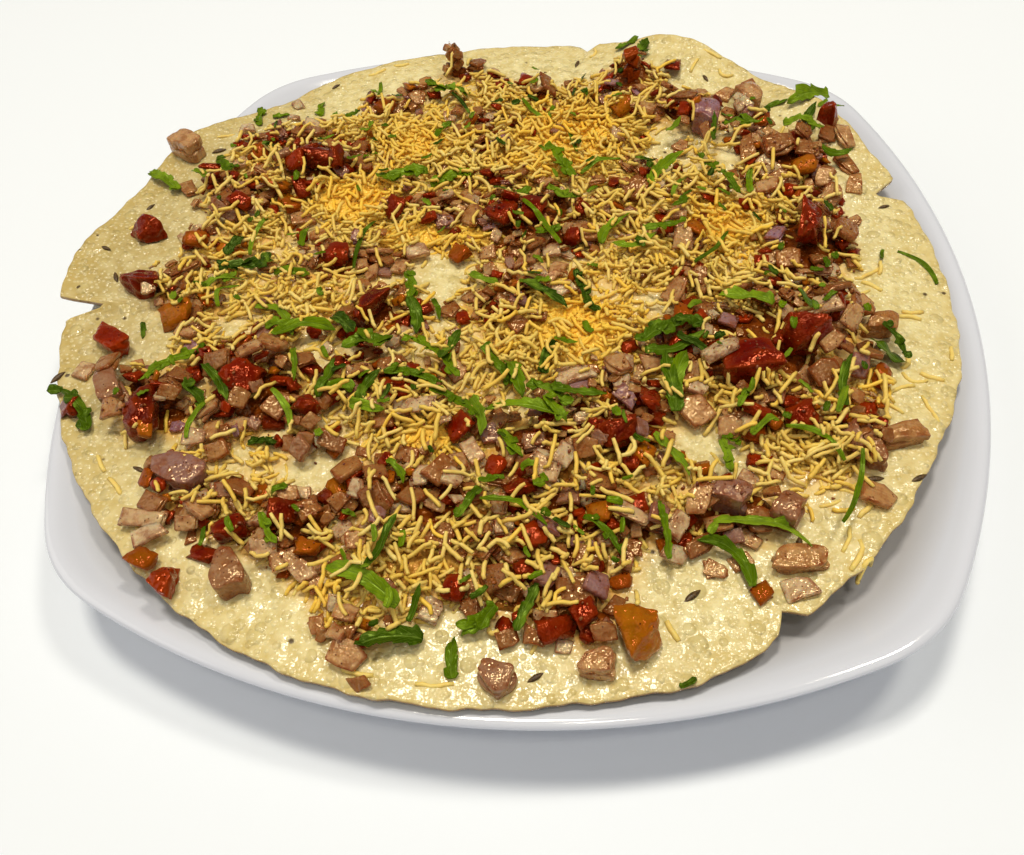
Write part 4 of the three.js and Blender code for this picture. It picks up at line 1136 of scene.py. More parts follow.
        (91, 17, 9, 7, 70, "b"), (84, 8, 6, 5, 0, "b"), (84, 3.5, 5, 3, -20, "l"),
        (75, 7, 8, 6, 20, "b"), (9.5, 7, 6, 4.5, 0, "w"), (4, 10, 6, 6, 30, "b"),
        (105, 37, 5, 4.5, 45, "w"), (3, 24, 8, 8, 0, "t"), (2, 88, 10, 5, -60, "b"),
        (16.5, 85, 5, 4, 70, "a"), (27, 77, 7, 7, 30, "a"), (70, 92, 7, 5, -60, "o"),
    ),
}
# The greatest height of the ground above the wafer on which a scattered piece may still lie
heapLimit = 1.6 + bedTop - waferTop + 0.45 * moundHeight()


# One layer of an onion: a curved slab with an uneven, narrowing outline, lying at this level
def onionSlab(bm, rng, cells, thick, level, wide=1.0):
    made = bmesh.ops.create_grid(bm, x_segments=cells[0], y_segments=cells[1], size=0.5)
    narrowing = rng.uniform(0.0, 0.45)
    skew = rng.uniform(-0.22, 0.22, 2)
    seed = Vector(rng.uniform(-50, 50, 3))
    for vert in made["verts"]:
        u, v = 2 * vert.co.x, 2 * vert.co.y
        across = v * (1 - narrowing * (0.5 + u / 2)) * (1 - 0.12 * abs(u) ** 3)
        along = u * (1 - 0.12 * abs(v) ** 3)
        jag = Vector((noise.noise(vert.co * 2 + seed), noise.noise(vert.co * 2 - seed), 0)) * 0.16
        vert.co = Vector((along + skew[0] * v, (across + skew[1] * u) * wide, 0)) / 2 + jag
    flat = set(made["verts"])
    lower = [face for face in bm.faces if face.verts[0] in flat]
    made = bmesh.ops.extrude_face_region(bm, geom=lower, use_keep_orig=True)
    raised = [item for item in made["geom"] if isinstance(item, bmesh.types.BMVert)]
    bmesh.ops.translate(bm, verts=raised, vec=(0, 0, thick))
    slab = {vert for face in lower for vert in face.verts} | set(raised)
    bend = chopped["bend"] * rng.uniform(0.6, 1.4)
    for vert in slab:
        vert.co.z += level - bend * (2 * vert.co.x**2 + 0.8 * vert.co.y**2)
        vert.co.z += 0.12 * thick * noise.noise(vert.co * 4 + seed)


# Rounds the edges that are sharper than about 50 degrees
def bevelSharp(bm, offset, segments=1):
    sharp = [edge for edge in bm.edges if edge.is_manifold and edge.calc_face_angle() > 0.9]
    settings = {
        "offset": offset,
        "offset_type": "OFFSET",
        "segments": segments,
        "profile": 0.5,
        "material": -1,
    }
    bmesh.ops.bevel(bm, geom=sharp, affect="EDGES", **settings)
    bmesh.ops.recalc_face_normals(bm, faces=bm.faces)


# A small piece of one or two layers
def onionShape(rng, layers):
    bm = bmesh.new()
    wide = rng.uniform(0.6, 0.95)
    thick = rng.uniform(0.3, 0.42) if layers == 1 else rng.uniform(0.22, 0.28)
    for layer in range(layers):
        onionSlab(bm, rng, (2, 1), thick * 0.95, layer * thick, wide)
    bevelSharp(bm, 0.045)
    flat = [face for face in bm.faces if abs(face.normal.z) > 0.75 and face.calc_area() > 0.04]
    bmesh.ops.inset_region(bm, faces=flat, thickness=0.07, depth=0.0, use_even_offset=True)
    return unitShape(bm)


# A soft block with uneven corners, rounded and roughened
def softBlock(bm, rng, cuts, roundness, uneven, rough):
    bmesh.ops.create_cube(bm, size=1)
    bmesh.ops.subdivide_edges(bm, edges=bm.edges, cuts=cuts, use_grid_fill=True)
    pulls = rng.uniform(-uneven, uneven, (2, 2, 2, 3))
    seed = Vector(rng.uniform(-50, 50, 3))
    for vert in bm.verts:
        start = vert.co.copy()
        x, y, z = (c + 0.5 for c in start)
        pull = sum(
            pulls[i, j, k] * (x if i else 1 - x) * (y if j else 1 - y) * (z if k else 1 - z)
            for i in (0, 1) for j in (0, 1) for k in (0, 1)
        )
        soft = start.lerp(start.normalized() * 0.6, roundness)
        folds = rough * (noise.noise(start * 3 + seed) + 0.5 * noise.noise(start * 7 - seed))
        vert.co = soft * (1 + folds) + Vector(pull)


def tomatoShape(rng):
    bm = bmesh.new()
    softBlock(bm, rng, 2, rng.uniform(0.3, 0.6), 0.2, 0.35)
    return unitShape(bm)


# Scattered pieces, the large ones first: spots to choose from, length, width, turn and kind of each
def scatteredPieces(rng):
    pieces = []
    for count, sizes, (kinds, shares) in (
        (chopped["onions"], chopped["onionSize"], chopped["onionMix"]),
        (chopped["tomatoes"], chopped["tomatoSize"], chopped["tomatoMix"]),
    ):
        spots = np.array([drawSpots(masalaMap**1.1, count, rng) for _ in range(chopped["choices"])])
        lengths = sizes[0] + (sizes[1] - sizes[0]) * rng.beta(1.6, 2.2, count)
        drawn = rng.choice(kinds, count, p=shares)
        for i in range(count):
            wide = lengths[i] * rng.uniform(0.6, 0.95)
            pieces.append((spots[:, :, i], lengths[i], wide, rng.uniform(0, fullTurn), drawn[i]))
    pieces.sort(key=lambda piece: -piece[1] * rng.uniform(0.7, 1.3))
    return pieces


def makeChopped():
    rng = np.random.default_rng(21)
    shapes = {
        False: [onionShape(rng, 1 + (i % 3 == 2)) for i in range(chopped["onionShapes"])],
        True: [tomatoShape(rng) for _ in range(chopped["tomatoShapes"])],
    }
    pieces = scatteredPieces(rng)
    for x, y, long, wide, turn, kind in chopped["listed"]:
        pieces.append(((x, y), long, wide, math.radians(turn), kind))
    copies = {(isTomato, i): [] for isTomato in shapes for i in range(len(shapes[isTomato]))}
    tones = {key: [] for key in copies}
    skipped = 0
    for spots, long, wide, turn, kind in pieces:
        thick = wide * rng.uniform(*chopped["thick"])
        if isinstance(spots, tuple):
            spot = seatSpot(*spots, riseAt(*spots) + thick / 2)
        else:
            spot, over = lowestSpot(spots)
            if over > 0:
                skipped += 1
                continue
        low, high, isTomato = chopped["kinds"][kind]
        key = (isTomato, int(rng.integers(len(shapes[isTomato]))))
        size = np.array([long, wide, thick * (chopped["tomatoThicker"] if isTomato else 1)])
        tilt, middle = layBox(spot[0], spot[1], turn, size / 2)
        leanX, leanY = (Matrix.Rotation(rng.normal(0, chopped["lean"]), 3, axis) for axis in "XY")
        turned = (tilt @ np.array(leanX @ leanY)).T
        copies[key].append((shapes[isTomato][key[1]][0] * size) @ turned + middle)
        tones[key].append(rng.uniform(low, high))
    for name, isTomato, skin, slot in (
        ("onionDice", False, onionSkin, "onion"), ("tomatoDice", True, tomatoSkin, "tomato"),
    ):
        parts = [
            (np.array(copies[isTomato, i]), shape, np.array(tones[isTomato, i]))
            for i, shape in enumerate(shapes[isTomato]) if copies[isTomato, i]
        ]
        mesh = joinCopies(name, parts)
        addPiece(name, mesh, skin, ["topping"])
        print(name, "made,", len(mesh.polygons), "faces")
    print("left out as too high:", skipped)


def onionMaterial():
    sockets = {
        "Roughness": 0.16,
        "Specular IOR Level": 0.8,
        "Specular Tint": (1.0, 0.75, 0.45, 1.0),
        "Subsurface Weight": 0.6,
        "Subsurface Radius": (1.0, 0.65, 0.3),
        "Subsurface Scale": 0.0014,
        "Transmission Weight": 0.4,
    }
    material, tree, shader = newMaterial("masalaOnion", sockets)
    vector = objectPlace(tree)
    # lilac skin side, brown soaked, tan, pale inner layers
    stops = (
        (0.0, paint(184, 142, 158)),
        (0.04, paint(178, 134, 122)),
        (0.12, paint(188, 140, 100)),
        (0.2, paint(166, 108, 58)),
        (0.45, paint(194, 136, 78)),
        (0.52, paint(208, 152, 90)),
        (0.75, paint(230, 184, 130)),
        (0.83, paint(238, 200, 152)),
        (1.0, paint(246, 220, 178)),
    )
    body = paintRamp(tree, attribute(tree, "tone"), stops)
    sockets = {"W": attribute(tree, "stripe"), "Scale": 3.0}
    streaks = addNode(tree, "ShaderNodeTexNoise", sockets, noise_dimensions="1D").outputs["Fac"]
    veined = times(tree, attribute(tree, "tone"), ranged(tree, streaks, 0.5, 0.75, 0.0, 0.35))
    body = mixPaint(tree, veined, body, paint(240, 212, 160))
    stain = ranged(tree, cloud(tree, vector, 2.8, 4.0, 0.6), 0.46, 0.62, 0.0, 0.6)
    stained = mixPaint(tree, stain, body, paint(158, 82, 22))
    tips = times(tree, attribute(tree, "rim"), ranged(tree, cloud(tree, vector, 2.6), 0.4, 0.6))
    stained = mixPaint(tree, times(tree, tips, 0.8), stained, paint(150, 62, 8))
    colour = spiced(tree, vector, stained, paint(96, 28, 4), 0.7, 0.12)
    joinSkin(tree, shader, colour, lumpy(tree, vector, 1.3, 0.42, detail=1.0))
    return material


# Tomato

def tomatoMaterial():
    sockets = {
        "Roughness": 0.1,
        "Specular IOR Level": 0.75,
        "Specular Tint": (1.0, 0.22, 0.1, 1.0),
        "Subsurface Weight": 0.15,
        "Subsurface Radius": (1.0, 0.15, 0.03),
        "Subsurface Scale": 0.001,
    }
    material, tree, shader = newMaterial("wetTomato", sockets)
    vector = objectPlace(tree)
    # dark red to amber
    stops = (
        (0.0, paint(78, 4, 0)),
        (0.3, paint(108, 10, 0)),
        (0.55, paint(140, 34, 1)),
        (0.8, paint(140, 66, 6)),
        (1.0, paint(170, 106, 12)),
    )
    body = paintRamp(tree, attribute(tree, "tone"), stops)
    flesh = mixPaint(tree, 0.35, body, paint(40, 2, 0))
    colour = cloudy(tree, vector, body, flesh, 3.4, 3.0)
    colour = mixPaint(tree, times(tree, attribute(tree, "rim"), 0.3), colour, paint(168, 66, 12))
    colour = spiced(tree, vector, colour, paint(56, 6, 1), 0.9, 0.15)
    joinSkin(tree, shader, colour, lumpy(tree, vector, 1.0, 0.32, detail=1.5))
    return material


# Large pieces, each in the place of its own solid

# A node's middle, its turn from the long way of its outline, and its size along, across and up
def nodeSpot(name):
    points = np.array([vert.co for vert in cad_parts[name].data.vertices]) / mm
    middle = (points.max(0) + points.min(0)) / 2
    flat = points[:, :2] - points[:, :2].mean(0)
    _, ways = np.linalg.eigh(flat.T @ flat)
    way = ways[:, 1]
    turn = math.atan2(way[1], way[0])
    along, across = flat @ way, flat @ np.array([-way[1], way[0]])
    size = (np.ptp(along), np.ptp(across), np.ptp(points[:, 2]))
    return middle, turn, size


# Stretches a shape into its node's place and down to the ground, and raises the ground under it.
# Returns each point's place in the shape, -1 to 1.
def layInNode(bm, name, overlap=0.3):
    middle, turn, size = nodeSpot(name)
    places = readVerts(bm)
    low, high = places.min(0), places.max(0)
    foot = float(np.min(ground[windowOf(middle[0], middle[1], size[1] * 0.3)]))
    top = middle[2] + size[2] / 2
    bottom = min(middle[2] - size[2] / 2, foot - overlap)
    full = np.array([size[0], size[1], top - bottom])
    unit = (places - (low + high) / 2) / (high - low)
    c, s = math.cos(turn), math.sin(turn)
    local = unit * full
    world = np.column_stack([
        middle[0] + local[:, 0] * c - local[:, 1] * s,
        middle[1] + local[:, 0] * s + local[:, 1] * c,
        (top + bottom) / 2 + local[:, 2],
    ])
    writeVerts(bm.verts, world)
    part = windowOf(middle[0], middle[1], size[0] * 0.6)
    dx, dy = fieldX[part] - middle[0], fieldY[part] - middle[1]
    inU, inV = (dx * c + dy * s) / (size[0] / 2), (dy * c - dx * s) / (size[1] / 2)
    off = inU**2 + inV**2
    dome = bottom + (top - bottom) * (0.5 + 0.5 * np.sqrt(np.clip(1 - off * 0.9, 0, 1)))
    ground[part] = np.where(off < 1, np.maximum(ground[part], dome), ground[part])
    return unit * 2


# Some small pieces heaped into one box of one unit
def pileShape(bm, rng, count):
    for i in range(count):
        part = bmesh.new()
        softBlock(part, rng, 4, rng.uniform(0.08, 0.3), 0.16, 0.15)
        size = rng.uniform(0.42, 0.6) * Vector((1, rng.uniform(0.6, 0.9), rng.uniform(0.4, 0.7)))
        turn = Matrix.Rotation(rng.uniform(0, fullTurn), 4, "Z") @ Matrix.Rotation(
            rng.uniform(-0.7, 0.7), 4, "X"
        )
        level = i / (count - 1) - 0.5
        off = Vector(
            (rng.uniform(-0.22, 0.22) * (1 - level), rng.uniform(-0.22, 0.22) * (1 - level), level * 0.7)
        )
        part.transform(Matrix.Translation(off) @ turn @ Matrix.Diagonal((*size, 1)))
        mesh = bpy.data.meshes.new("pilePart")
        part.to_mesh(mesh)
        part.free()
        bm.from_mesh(mesh)
        bpy.data.meshes.remove(mesh)


# Nodes that are small piles, and how many pieces each has
piled = {"onion_15": 8, "tomato_16": 6}

# Tones of the large tomato pieces that aren't a common red, and of the large onion pieces
tomatoTones = {3: 0.5, 8: 0.6, 14: 0.97, 16: 0.7}
onionTones = {
    1: 0.0, 2: 0.72, 3: 0.04, 4: 0.14, 5: 0.1, 6: 0.76, 7: 0.6, 8: 0.54,
    9: 0.48, 10: 0.06, 11: 0.1, 12: 0.1, 13: 0.7, 14: 0.12, 15: 0.56,
}


# The numbers of a family's nodes, in order
def numbersOf(family):
    return sorted(int(name.split("_")[1]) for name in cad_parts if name.startswith(family + "_"))


def makeTomatoChunks():
    rng = np.random.default_rng(51)
    for number in numbersOf("tomato"):
        name = "tomato_%d" % number
        bm = bmesh.new()
        if name in piled:
            pileShape(bm, rng, piled[name])
        else:
            softBlock(bm, rng, 9, rng.uniform(0.45, 0.7), 0.3, 0.2)
        local = layInNode(bm, name)
        tone = tomatoTones.get(number, rng.uniform(0.0, 0.4))
        addChunk("tomatoChunk%d" % number, bm, local, tone, tomatoSkin, name)
    print("tomato chunks made")


def makeOnionChunks():
    rng = np.random.default_rng(62)
    for number in numbersOf("onion"):
        name = "onion_%d" % number
        bm = bmesh.new()
        if name in piled:
            pileShape(bm, rng, piled[name])
        else:
            layers = 1 if number in (1, 4) else 2
            for layer in range(layers):
                onionSlab(bm, rng, (9, 7), 0.96 / layers, layer / layers)
            bevelSharp(bm, 0.05, 2)
        local = layInNode(bm, name)
        addChunk("onionChunk%d" % number, bm, local, onionTones[number], onionSkin, name)
    print("onion chunks made")


# Sev: thin fried gram noodles

sev = {
    "soaked": {
        "radius": 0.5, "sides": 5, "rings": 5, "long": (1.8, 8.0),
        "sink": 0.45, "bow": 0.09, "yellow": 0.7,
    },
    "lone": {"radius": 0.6, "sides": 6, "rings": 6, "long": (1.8, 9.5), "sink": 0.5, "bow": 0.06},
    "crisp": {
        "radius": 0.54, "sides": 6, "rings": 6, "long": (2.0, 9.0),
        "sink": 0.1, "bow": 0.06, "yellow": 0.4,
    },
    "soakedCount": 4300,
    "underCount": 1750,
    "overCount": 800,
    "steepest": 0.5,
    # shares of strands that are hooked or have an elbow
    "hooked": 0.08,
    "elbowed": 0.22,
    # strands that lie flat and soaked on the bare wafer: x, y, length, turn
    "single": (
        (96, 2, 9, 20), (102, -33, 7, -20), (104, -43, 9, -75), (105, -11, 6, 5), (58, 112, 7, -30),
        (-60, 99, 7, 35), (82, -84, 8, 60), (93, 6, 7, 60), (96, -2, 6, -30), (99, 5, 5, 80),
        (92, -5, 8, 25), (98, -38, 9, 30), (95, -42, 8, -50), (92, -34, 7, 10), (100, -28, 6, 70),
        (104, -13, 6, 0), (106, -33, 6, -20), (80, -80, 7, 70), (86, -72, 7, 40), (-4, -119, 8, 5),
        (-20, -118, 7, -8), (43, -104, 5, -60), (-88, -78, 7, -40), (-94, -72, 6, -50),
        (-118, 14, 5, 50), (-104, 60, 6, 30), (-52, 104, 6, 10), (52, 104, 7, 60), (16, 112, 6, 75),
        (112, -25, 5, 80), (84, -86, 6, 55), (-76, -90, 6, -30), (-101, 45, 7, -60),
        (-97, 52, 8, 80), (36, 88, 8, 70), (62, 100, 6, -40),
    ),
}


# A straight tube of rings along X, closed at both ends
def strandShape(kind):
    bm = bmesh.new()
    made = bmesh.ops.create_circle(bm, cap_ends=True, segments=kind["sides"], radius=1)
    bmesh.ops.rotate(
        bm, verts=made["verts"], cent=(0, 0, 0), matrix=Matrix.Rotation(math.pi / 2, 3, "Y")
    )
    start = bmesh.ops.extrude_face_region(bm, geom=list(bm.faces), use_keep_orig=True)
    for ring in range(1, kind["rings"]):
        moved = [item for item in start["geom"] if isinstance(item, bmesh.types.BMVert)]
        bmesh.ops.translate(bm, verts=moved, vec=(1, 0, 0))
        if ring < kind["rings"] - 1:
            caps = [item for item in start["geom"] if isinstance(item, bmesh.types.BMFace)]
            start = bmesh.ops.extrude_face_region(bm, geom=caps)
            bmesh.ops.delete(bm, geom=[cap for cap in caps if cap.is_valid], context="FACES_ONLY")
    bmesh.ops.recalc_face_normals(bm, faces=bm.faces)
    return shapeFrom(bm)


# Height of a stiff strand over its points: the line between the two high spots that carry it
def restLine(heights, at):
    before, after = at <= 0, at >= 0
    lowAt, highAt = at[before][:, None], at[after][None, :]
    lowZ, highZ = heights[before][:, None], heights[after][None, :]
    span = np.maximum(highAt - lowAt, 1e-6)
    apart = highAt - lowAt > 1e-6
    middle = np.where(apart, (lowZ * highAt - highZ * lowAt) / span, lowZ)
    slopes = np.where(apart, (highZ - lowZ) / span, 0.0)
    best = np.unravel_index(np.argmax(middle), middle.shape)
    slope = float(np.clip(slopes[best], -sev["steepest"], sev["steepest"]))
    return middle[best] + slope * at


# One strand, bowed and laid on what is there: the places of its shape's points. It raises the
# ground.
def dropStrand(kind, shape, x, y, length, turn, rng):
    rings = kind["rings"]
    ringOf = np.rint(shape[0][:, 0]).astype(int)
    share = np.linspace(-0.5, 0.5, rings)
    bow = rng.normal(0, kind["bow"]) * length
    if rng.random() < sev["hooked"]:
        bow = math.copysign(rng.uniform(0.18, 0.35), bow) * length
    side = bow * (1 - 4 * share**2) + rng.normal(0, 0.012, rings) * length
    if rng.random() < sev["elbowed"]:
        elbow = share[int(rng.integers(1, rings - 1))]
        side += rng.uniform(-1.1, 1.1) * np.maximum(share - elbow, 0) * length
    along = share * length * (1 - 0.5 * abs(bow) / length)
    c, s = math.cos(turn), math.sin(turn)
    px, py = x + along * c - side * s, y + along * s + side * c
    heights = ground[cellOf(py), cellOf(px)]
    line = restLine(heights, along)
    z = np.maximum(0.85 * line + 0.15 * heights, heights - 0.2) + kind["radius"] - kind["sink"]
    z = z + rng.normal(0, 0.1, rings)
    path = np.column_stack([px, py, z])
    ways = np.gradient(path, axis=0)
    ways /= np.linalg.norm(ways, axis=1)[:, None]
    across = np.cross(np.array([0, 0, 1.0]), ways)
    across /= np.linalg.norm(across, axis=1)[:, None]
    up = np.cross(ways, across)
    radius = np.full(rings, kind["radius"] * rng.uniform(0.82, 1.12))
    radius[[0, -1]] *= 0.82
    angles = np.arctan2(shape[0][:, 2], shape[0][:, 1])
    spoke = across[ringOf] * np.cos(angles)[:, None] + up[ringOf] * np.sin(angles)[:, None]
    fine = np.linspace(0, rings - 1, max(4, int(length / 0.5)))
    fx, fy = np.interp(fine, range(rings), px), np.interp(fine, range(rings), py)
    fz = np.interp(fine, range(rings), z) + kind["radius"]
    rows, columns = cellOf(fy), cellOf(fx)
    np.maximum.at(ground, (rows, columns), fz)
    np.maximum.at(ground, (rows, np.clip(columns + 1, 0, len(fieldLine) - 1)), fz - 0.15)
    np.maximum.at(ground, (np.clip(rows + 1, 0, len(fieldLine) - 1), columns), fz - 0.15)
    return path[ringOf] + spoke * radius[ringOf][:, None]


# Strands of one kind over a density map; each takes the lower of two spots
def scatterStrands(kindName, density, count, seed):
    rng = np.random.default_rng(seed)
    kind = sev[kindName]
    shape = strandShape(kind)
    choices = np.array([drawSpots(density, count, rng) for _ in range(2)])
    low, high = kind["long"]
    copies, tones = [], []
    for i in range(count):
        (x, y), _ = lowestSpot(choices[:, :, i])
        length = low + (high - low) * rng.beta(1.5, 2.6)
        copies.append(dropStrand(kind, shape, x, y, length, rng.uniform(0, fullTurn), rng))
        deep = deepMap[cellOf(np.array(y)), cellOf(np.array(x))]
        tones.append(np.clip(kind["yellow"] * deep + rng.normal(0.3, 0.16), 0, 1))
    return np.array(copies), shape, np.array(tones)


def singleStrands():
    rng = np.random.default_rng(5)
    kind = sev["lone"]
    shape = strandShape(kind)
    copies = []
    for x, y, length, turn in sev["single"]:
        spot = seatSpot(x, y, 0.5)
        copies.append(dropStrand(kind, shape, *spot, length, math.radians(turn), rng))
    return np.array(copies), shape, np.full(len(copies), 0.1)


def addStrands(name, parts):
    mesh = joinCopies(name, parts)
    addPiece(name, mesh, sevSkin, ["topping"])
    print(name, "made,", len(mesh.polygons), "faces")


def sevMaterial():
    sockets = {
        "Roughness": 0.4,
        "Specular IOR Level": 0.25,
        "Subsurface Weight": 0.15,
        "Subsurface Radius": (1.0, 0.6, 0.15),
        "Subsurface Scale": 0.0008,
    }
    material, tree, shader = newMaterial("friedSev", sockets)
    vector = objectPlace(tree)
    # pale and dry to yellow and soaked
    stops = (
        (0.0, paint(240, 214, 126)),
        (0.35, paint(230, 197, 96)),
        (0.7, paint(246, 202, 76)),
        (1.0, paint(244, 188, 54)),
    )
    body = paintRamp(tree, attribute(tree, "tone"), stops)
    fried = ranged(tree, cloud(tree, vector, 4.0), 0.5, 0.74, 0.0, 0.35)
    colour = mixPaint(tree, fried, body, paint(210, 156, 56))
    joinSkin(tree, shader, colour, lumpy(tree, vector, 0.5, 0.12))
    return material


# Coriander

coriander = {
    "thick": 0.2,
    "clear": 0.25,
    "bits": 150,
    # leaves that are solids are lobed at odd numbers and strips at even ones, apart from these
    "kinds": {6: "lobed", 20: "lobed"},
    # leaves that are no solids of their own: x, y, length, width, turn, bow, kind
    "more": (
        (-95, 72, 12, 5, 100, 1, "lobed"), (-75, 76, 8, 5, 110, 0, "lobed"),
        (-65, 70, 10, 4, 60, 1, "lobed"), (-88, 72, 6, 2.5, 20, 0, "strip"),
        (-30, 64, 10, 4, 60, 1, "lobed"), (-24, 40, 14, 6, 15, 1, "lobed"),
        (-100, 42, 11, 5, -60, 1, "lobed"), (-103, 33, 9, 3.5, -50, 1, "strip"),
        (-83, 5, 8, 3, 60, 1, "strip"), (-76, 8, 15, 1.4, 80, 2, "shred"),
        (-62, 9, 9, 2.4, 78, 1, "strip"), (-46, 10, 21, 1.6, 86, 1, "shred"),
        (-2, 33, 8, 4.5, 20, 0, "lobed"), (12, 33, 11, 4, 150, 1, "lobed"),
        (8, 16, 9, 5, 50, 0, "lobed"), (27, 14, 14, 3, 60, 2, "strip"),
        (33, 12, 13, 3, 15, -3, "strip"), (41, 17, 12, 4, 10, 1, "lobed"),
        (46, 33, 14, 1.6, 70, 2, "shred"), (55, 7, 18, 1.4, 48, 1, "shred"),
        (109, 6, 15, 1.5, -55, 2.6, "shred"), (101, 10, 5, 1.2, 60, 0.4, "shred"),
        (78, 82, 7, 2.2, 15, 0, "strip"), (95, 85, 9, 3, 35, 0.6, "lobed"),
        (87, 74, 12, 3.5, 96, 0.6, "strip"), (84, 68, 11, 4.5, -8, 1.4, "lobed"),
        (44, 61, 6, 2.6, 40, 0, "strip"), (56, 58, 12, 2, 84, 0.3, "strip"),
        (13, 92, 17, 1.2, 74, 1.2, "shred"), (-57, 88, 10, 1.6, -82, 0.5, "shred"),
        (22, 45, 14, 1.5, 30, 2, "shred"), (35, 50, 8, 3, -20, 1, "lobed"),
        (93, 54, 10, 2.4, 10, -1, "strip"), (67, 42, 10, 2.4, 88, 0.5, "strip"),
        (12, 57, 14, 1.6, -76, 0.5, "shred"), (-78, -4, 17, 6.5, 10, 1, "lobed"),
        (-84, -8, 12, 5, 20, 1, "lobed"), (-63, -6, 12, 3, -10, 1, "strip"),
        (-79, -16, 9, 1.8, 75, 2, "shred"), (-100, -28, 6, 1.8, -70, 0, "strip"),
        (-62, -22, 18, 3, -22, 2, "strip"), (-61, -26, 8, 4.5, 10, 0, "lobed"),
        (-52, -31, 16, 3.2, 20, 4, "strip"), (-55, -38, 11, 2, -76, 1, "strip"),
        (-43, -27, 10, 3.6, -40, 1, "strip"), (-29, -8, 13, 4.6, -70, 1, "lobed"),
        (-25, -22, 12, 4, -72, 1, "strip"), (-12, -33, 12, 4, 65, 1, "strip"),
        (-22, -40, 15, 4.4, 5, 1, "lobed"), (-40, -47, 9, 5, 10, 1, "lobed"),
        (-43, -43, 12, 3, 70, 1, "strip"), (-32, -46, 12, 3, 75, 1, "strip"),
        (-31, -54, 10, 3, -20, 1, "strip"), (-76, -52, 10, 5, -42, 1, "lobed"),
        (-70, -50, 14, 3, -50, 1, "strip"), (-74, -58, 10, 1.6, 70, 2, "shred"),
        (-55, -52, 12, 2, -60, 1.6, "shred"), (-56, -63, 7, 4.5, 10, 0, "lobed"),
        (-2, -36, 14, 5, -60, 1, "lobed"), (-4, -53, 12, 3, -70, 1, "strip"),
        (4, -42, 12, 4.5, -74, 1, "strip"), (15, -48, 9, 5, -50, 0, "lobed"),
        (13, -32, 12, 4.5, 76, 2, "lobed"), (16, -28, 6, 2, 10, 0, "strip"),
        (5, -4, 7, 2.2, 20, 0, "strip"), (10, -12, 14, 3.4, -18, 1, "strip"),
        (19, -8, 17, 4.2, -74, 1, "lobed"), (-9, -8, 10, 3, -50, 1, "strip"),
        (-19, -17, 6, 1.8, -50, 0, "strip"), (38, -27, 9, 7, 10, 0, "lobed"),
        (44, -22, 17, 3.4, 30, -2, "strip"), (48, -26, 9, 2, -40, 1, "strip"),
        (46, -38, 18, 4.4, 78, 1, "strip"), (60, -45, 7, 3.4, 60, 0, "lobed"),
        (58, -49, 4, 3, 0, 0, "lobed"), (65, -50, 8, 3, 40, 0.6, "lobed"),
        (76, -55, 15, 1.3, -26, 1.6, "shred"), (80, -70, 19, 1.3, 78, -2.2, "shred"),
        (86, -34, 15, 3, 82, 1, "strip"), (83, -43, 9, 1.8, 70, 0, "shred"),
        (98, -24, 10, 4, -50, 1, "lobed"), (82, -15, 5, 1.8, 40, 0, "strip"),
        (77, -14, 9, 2, -70, 0, "shred"), (43, -62, 13, 3, -48, 1, "strip"),
        (55, -63, 10, 4, -75, 0.6, "lobed"), (43, -80, 14, 2, 85, 0.6, "strip"),
        (28, -84, 13, 3.6, -45, 1.4, "lobed"), (60, -85, 20, 3, -30, 5, "strip"),
        (8, -77, 17, 2, -12, 1.6, "strip"), (5, -60, 10, 5, -60, 0, "lobed"),
        (14, -102, 12, 3, 65, 1, "strip"), (2, -72, 6, 3, 20, 0, "lobed"),
        (-3, -77, 9, 4, 60, 0, "lobed"), (-19, -90, 15, 2.6, 65, 1, "strip"),
        (-47, -88, 8, 4, -60, 0, "lobed"), (-47, -78, 4, 3, 10, 0, "lobed"),
        (-21, -70, 8, 2.4, -50, 1, "strip"), (-29, -83, 3, 2.4, 0, 0, "lobed"),
        (-10, -104, 8, 2, 80, 0, "strip"), (0, -114, 8, 3.5, 80, 1, "strip"),
        (46, -114.5, 4, 1.6, 30, 0, "strip"), (-9, -49, 14, 4, -4, 1, "lobed"),
        (20, -45, 12, 3.4, 4, 0.6, "strip"), (10, -66, 4, 2, 20, 0, "strip"),
        (28, 118, 9, 4, 30, 0, "lobed"), (-85, 50, 4, 3, 10, 0, "lobed"),
        (-47, 60, 2.6, 2, 0, 0, "lobed"), (-3, 75, 15, 1.4, -65, 0.5, "shred"),
        (-25, 76, 12, 1.4, -40, 0.5, "shred"), (5, 22, 20, 1.6, -55, 1, "shred"),
    ),
}


# Half widths of a leaf's sheet along it, as a share of its widest. Each side has its own jagged
# line.
def leafEdge(kind, along, side, length, rng):
    if kind == "shred":
        return 0.55 + 0.45 * np.clip((0.5 - np.abs(along)) / 0.5, 0, 1) ** 0.5
    if kind == "lobe":
        return np.interp(along, (-0.5, -0.1, 0.15, 0.3, 0.5), (0.4, 0.8, 1.0, 0.7, 0.15))
    halves = []
    tip = np.clip((0.5 - along) / rng.uniform(0.12, 0.35), 0.0, 1) ** 0.8
    cut = np.clip((along + 0.5) / 0.05, 0.6, 1)
    for _ in range(2):
        teeth = (along * max(1.0, length / rng.uniform(2.6, 5.0)) + rng.uniform(0, 1)) % 1
        depth = rng.uniform(0.15, 0.5)
        halves.append((1 - depth + depth * teeth**1.3) * tip * cut)
    return np.where(side > 0, *halves)


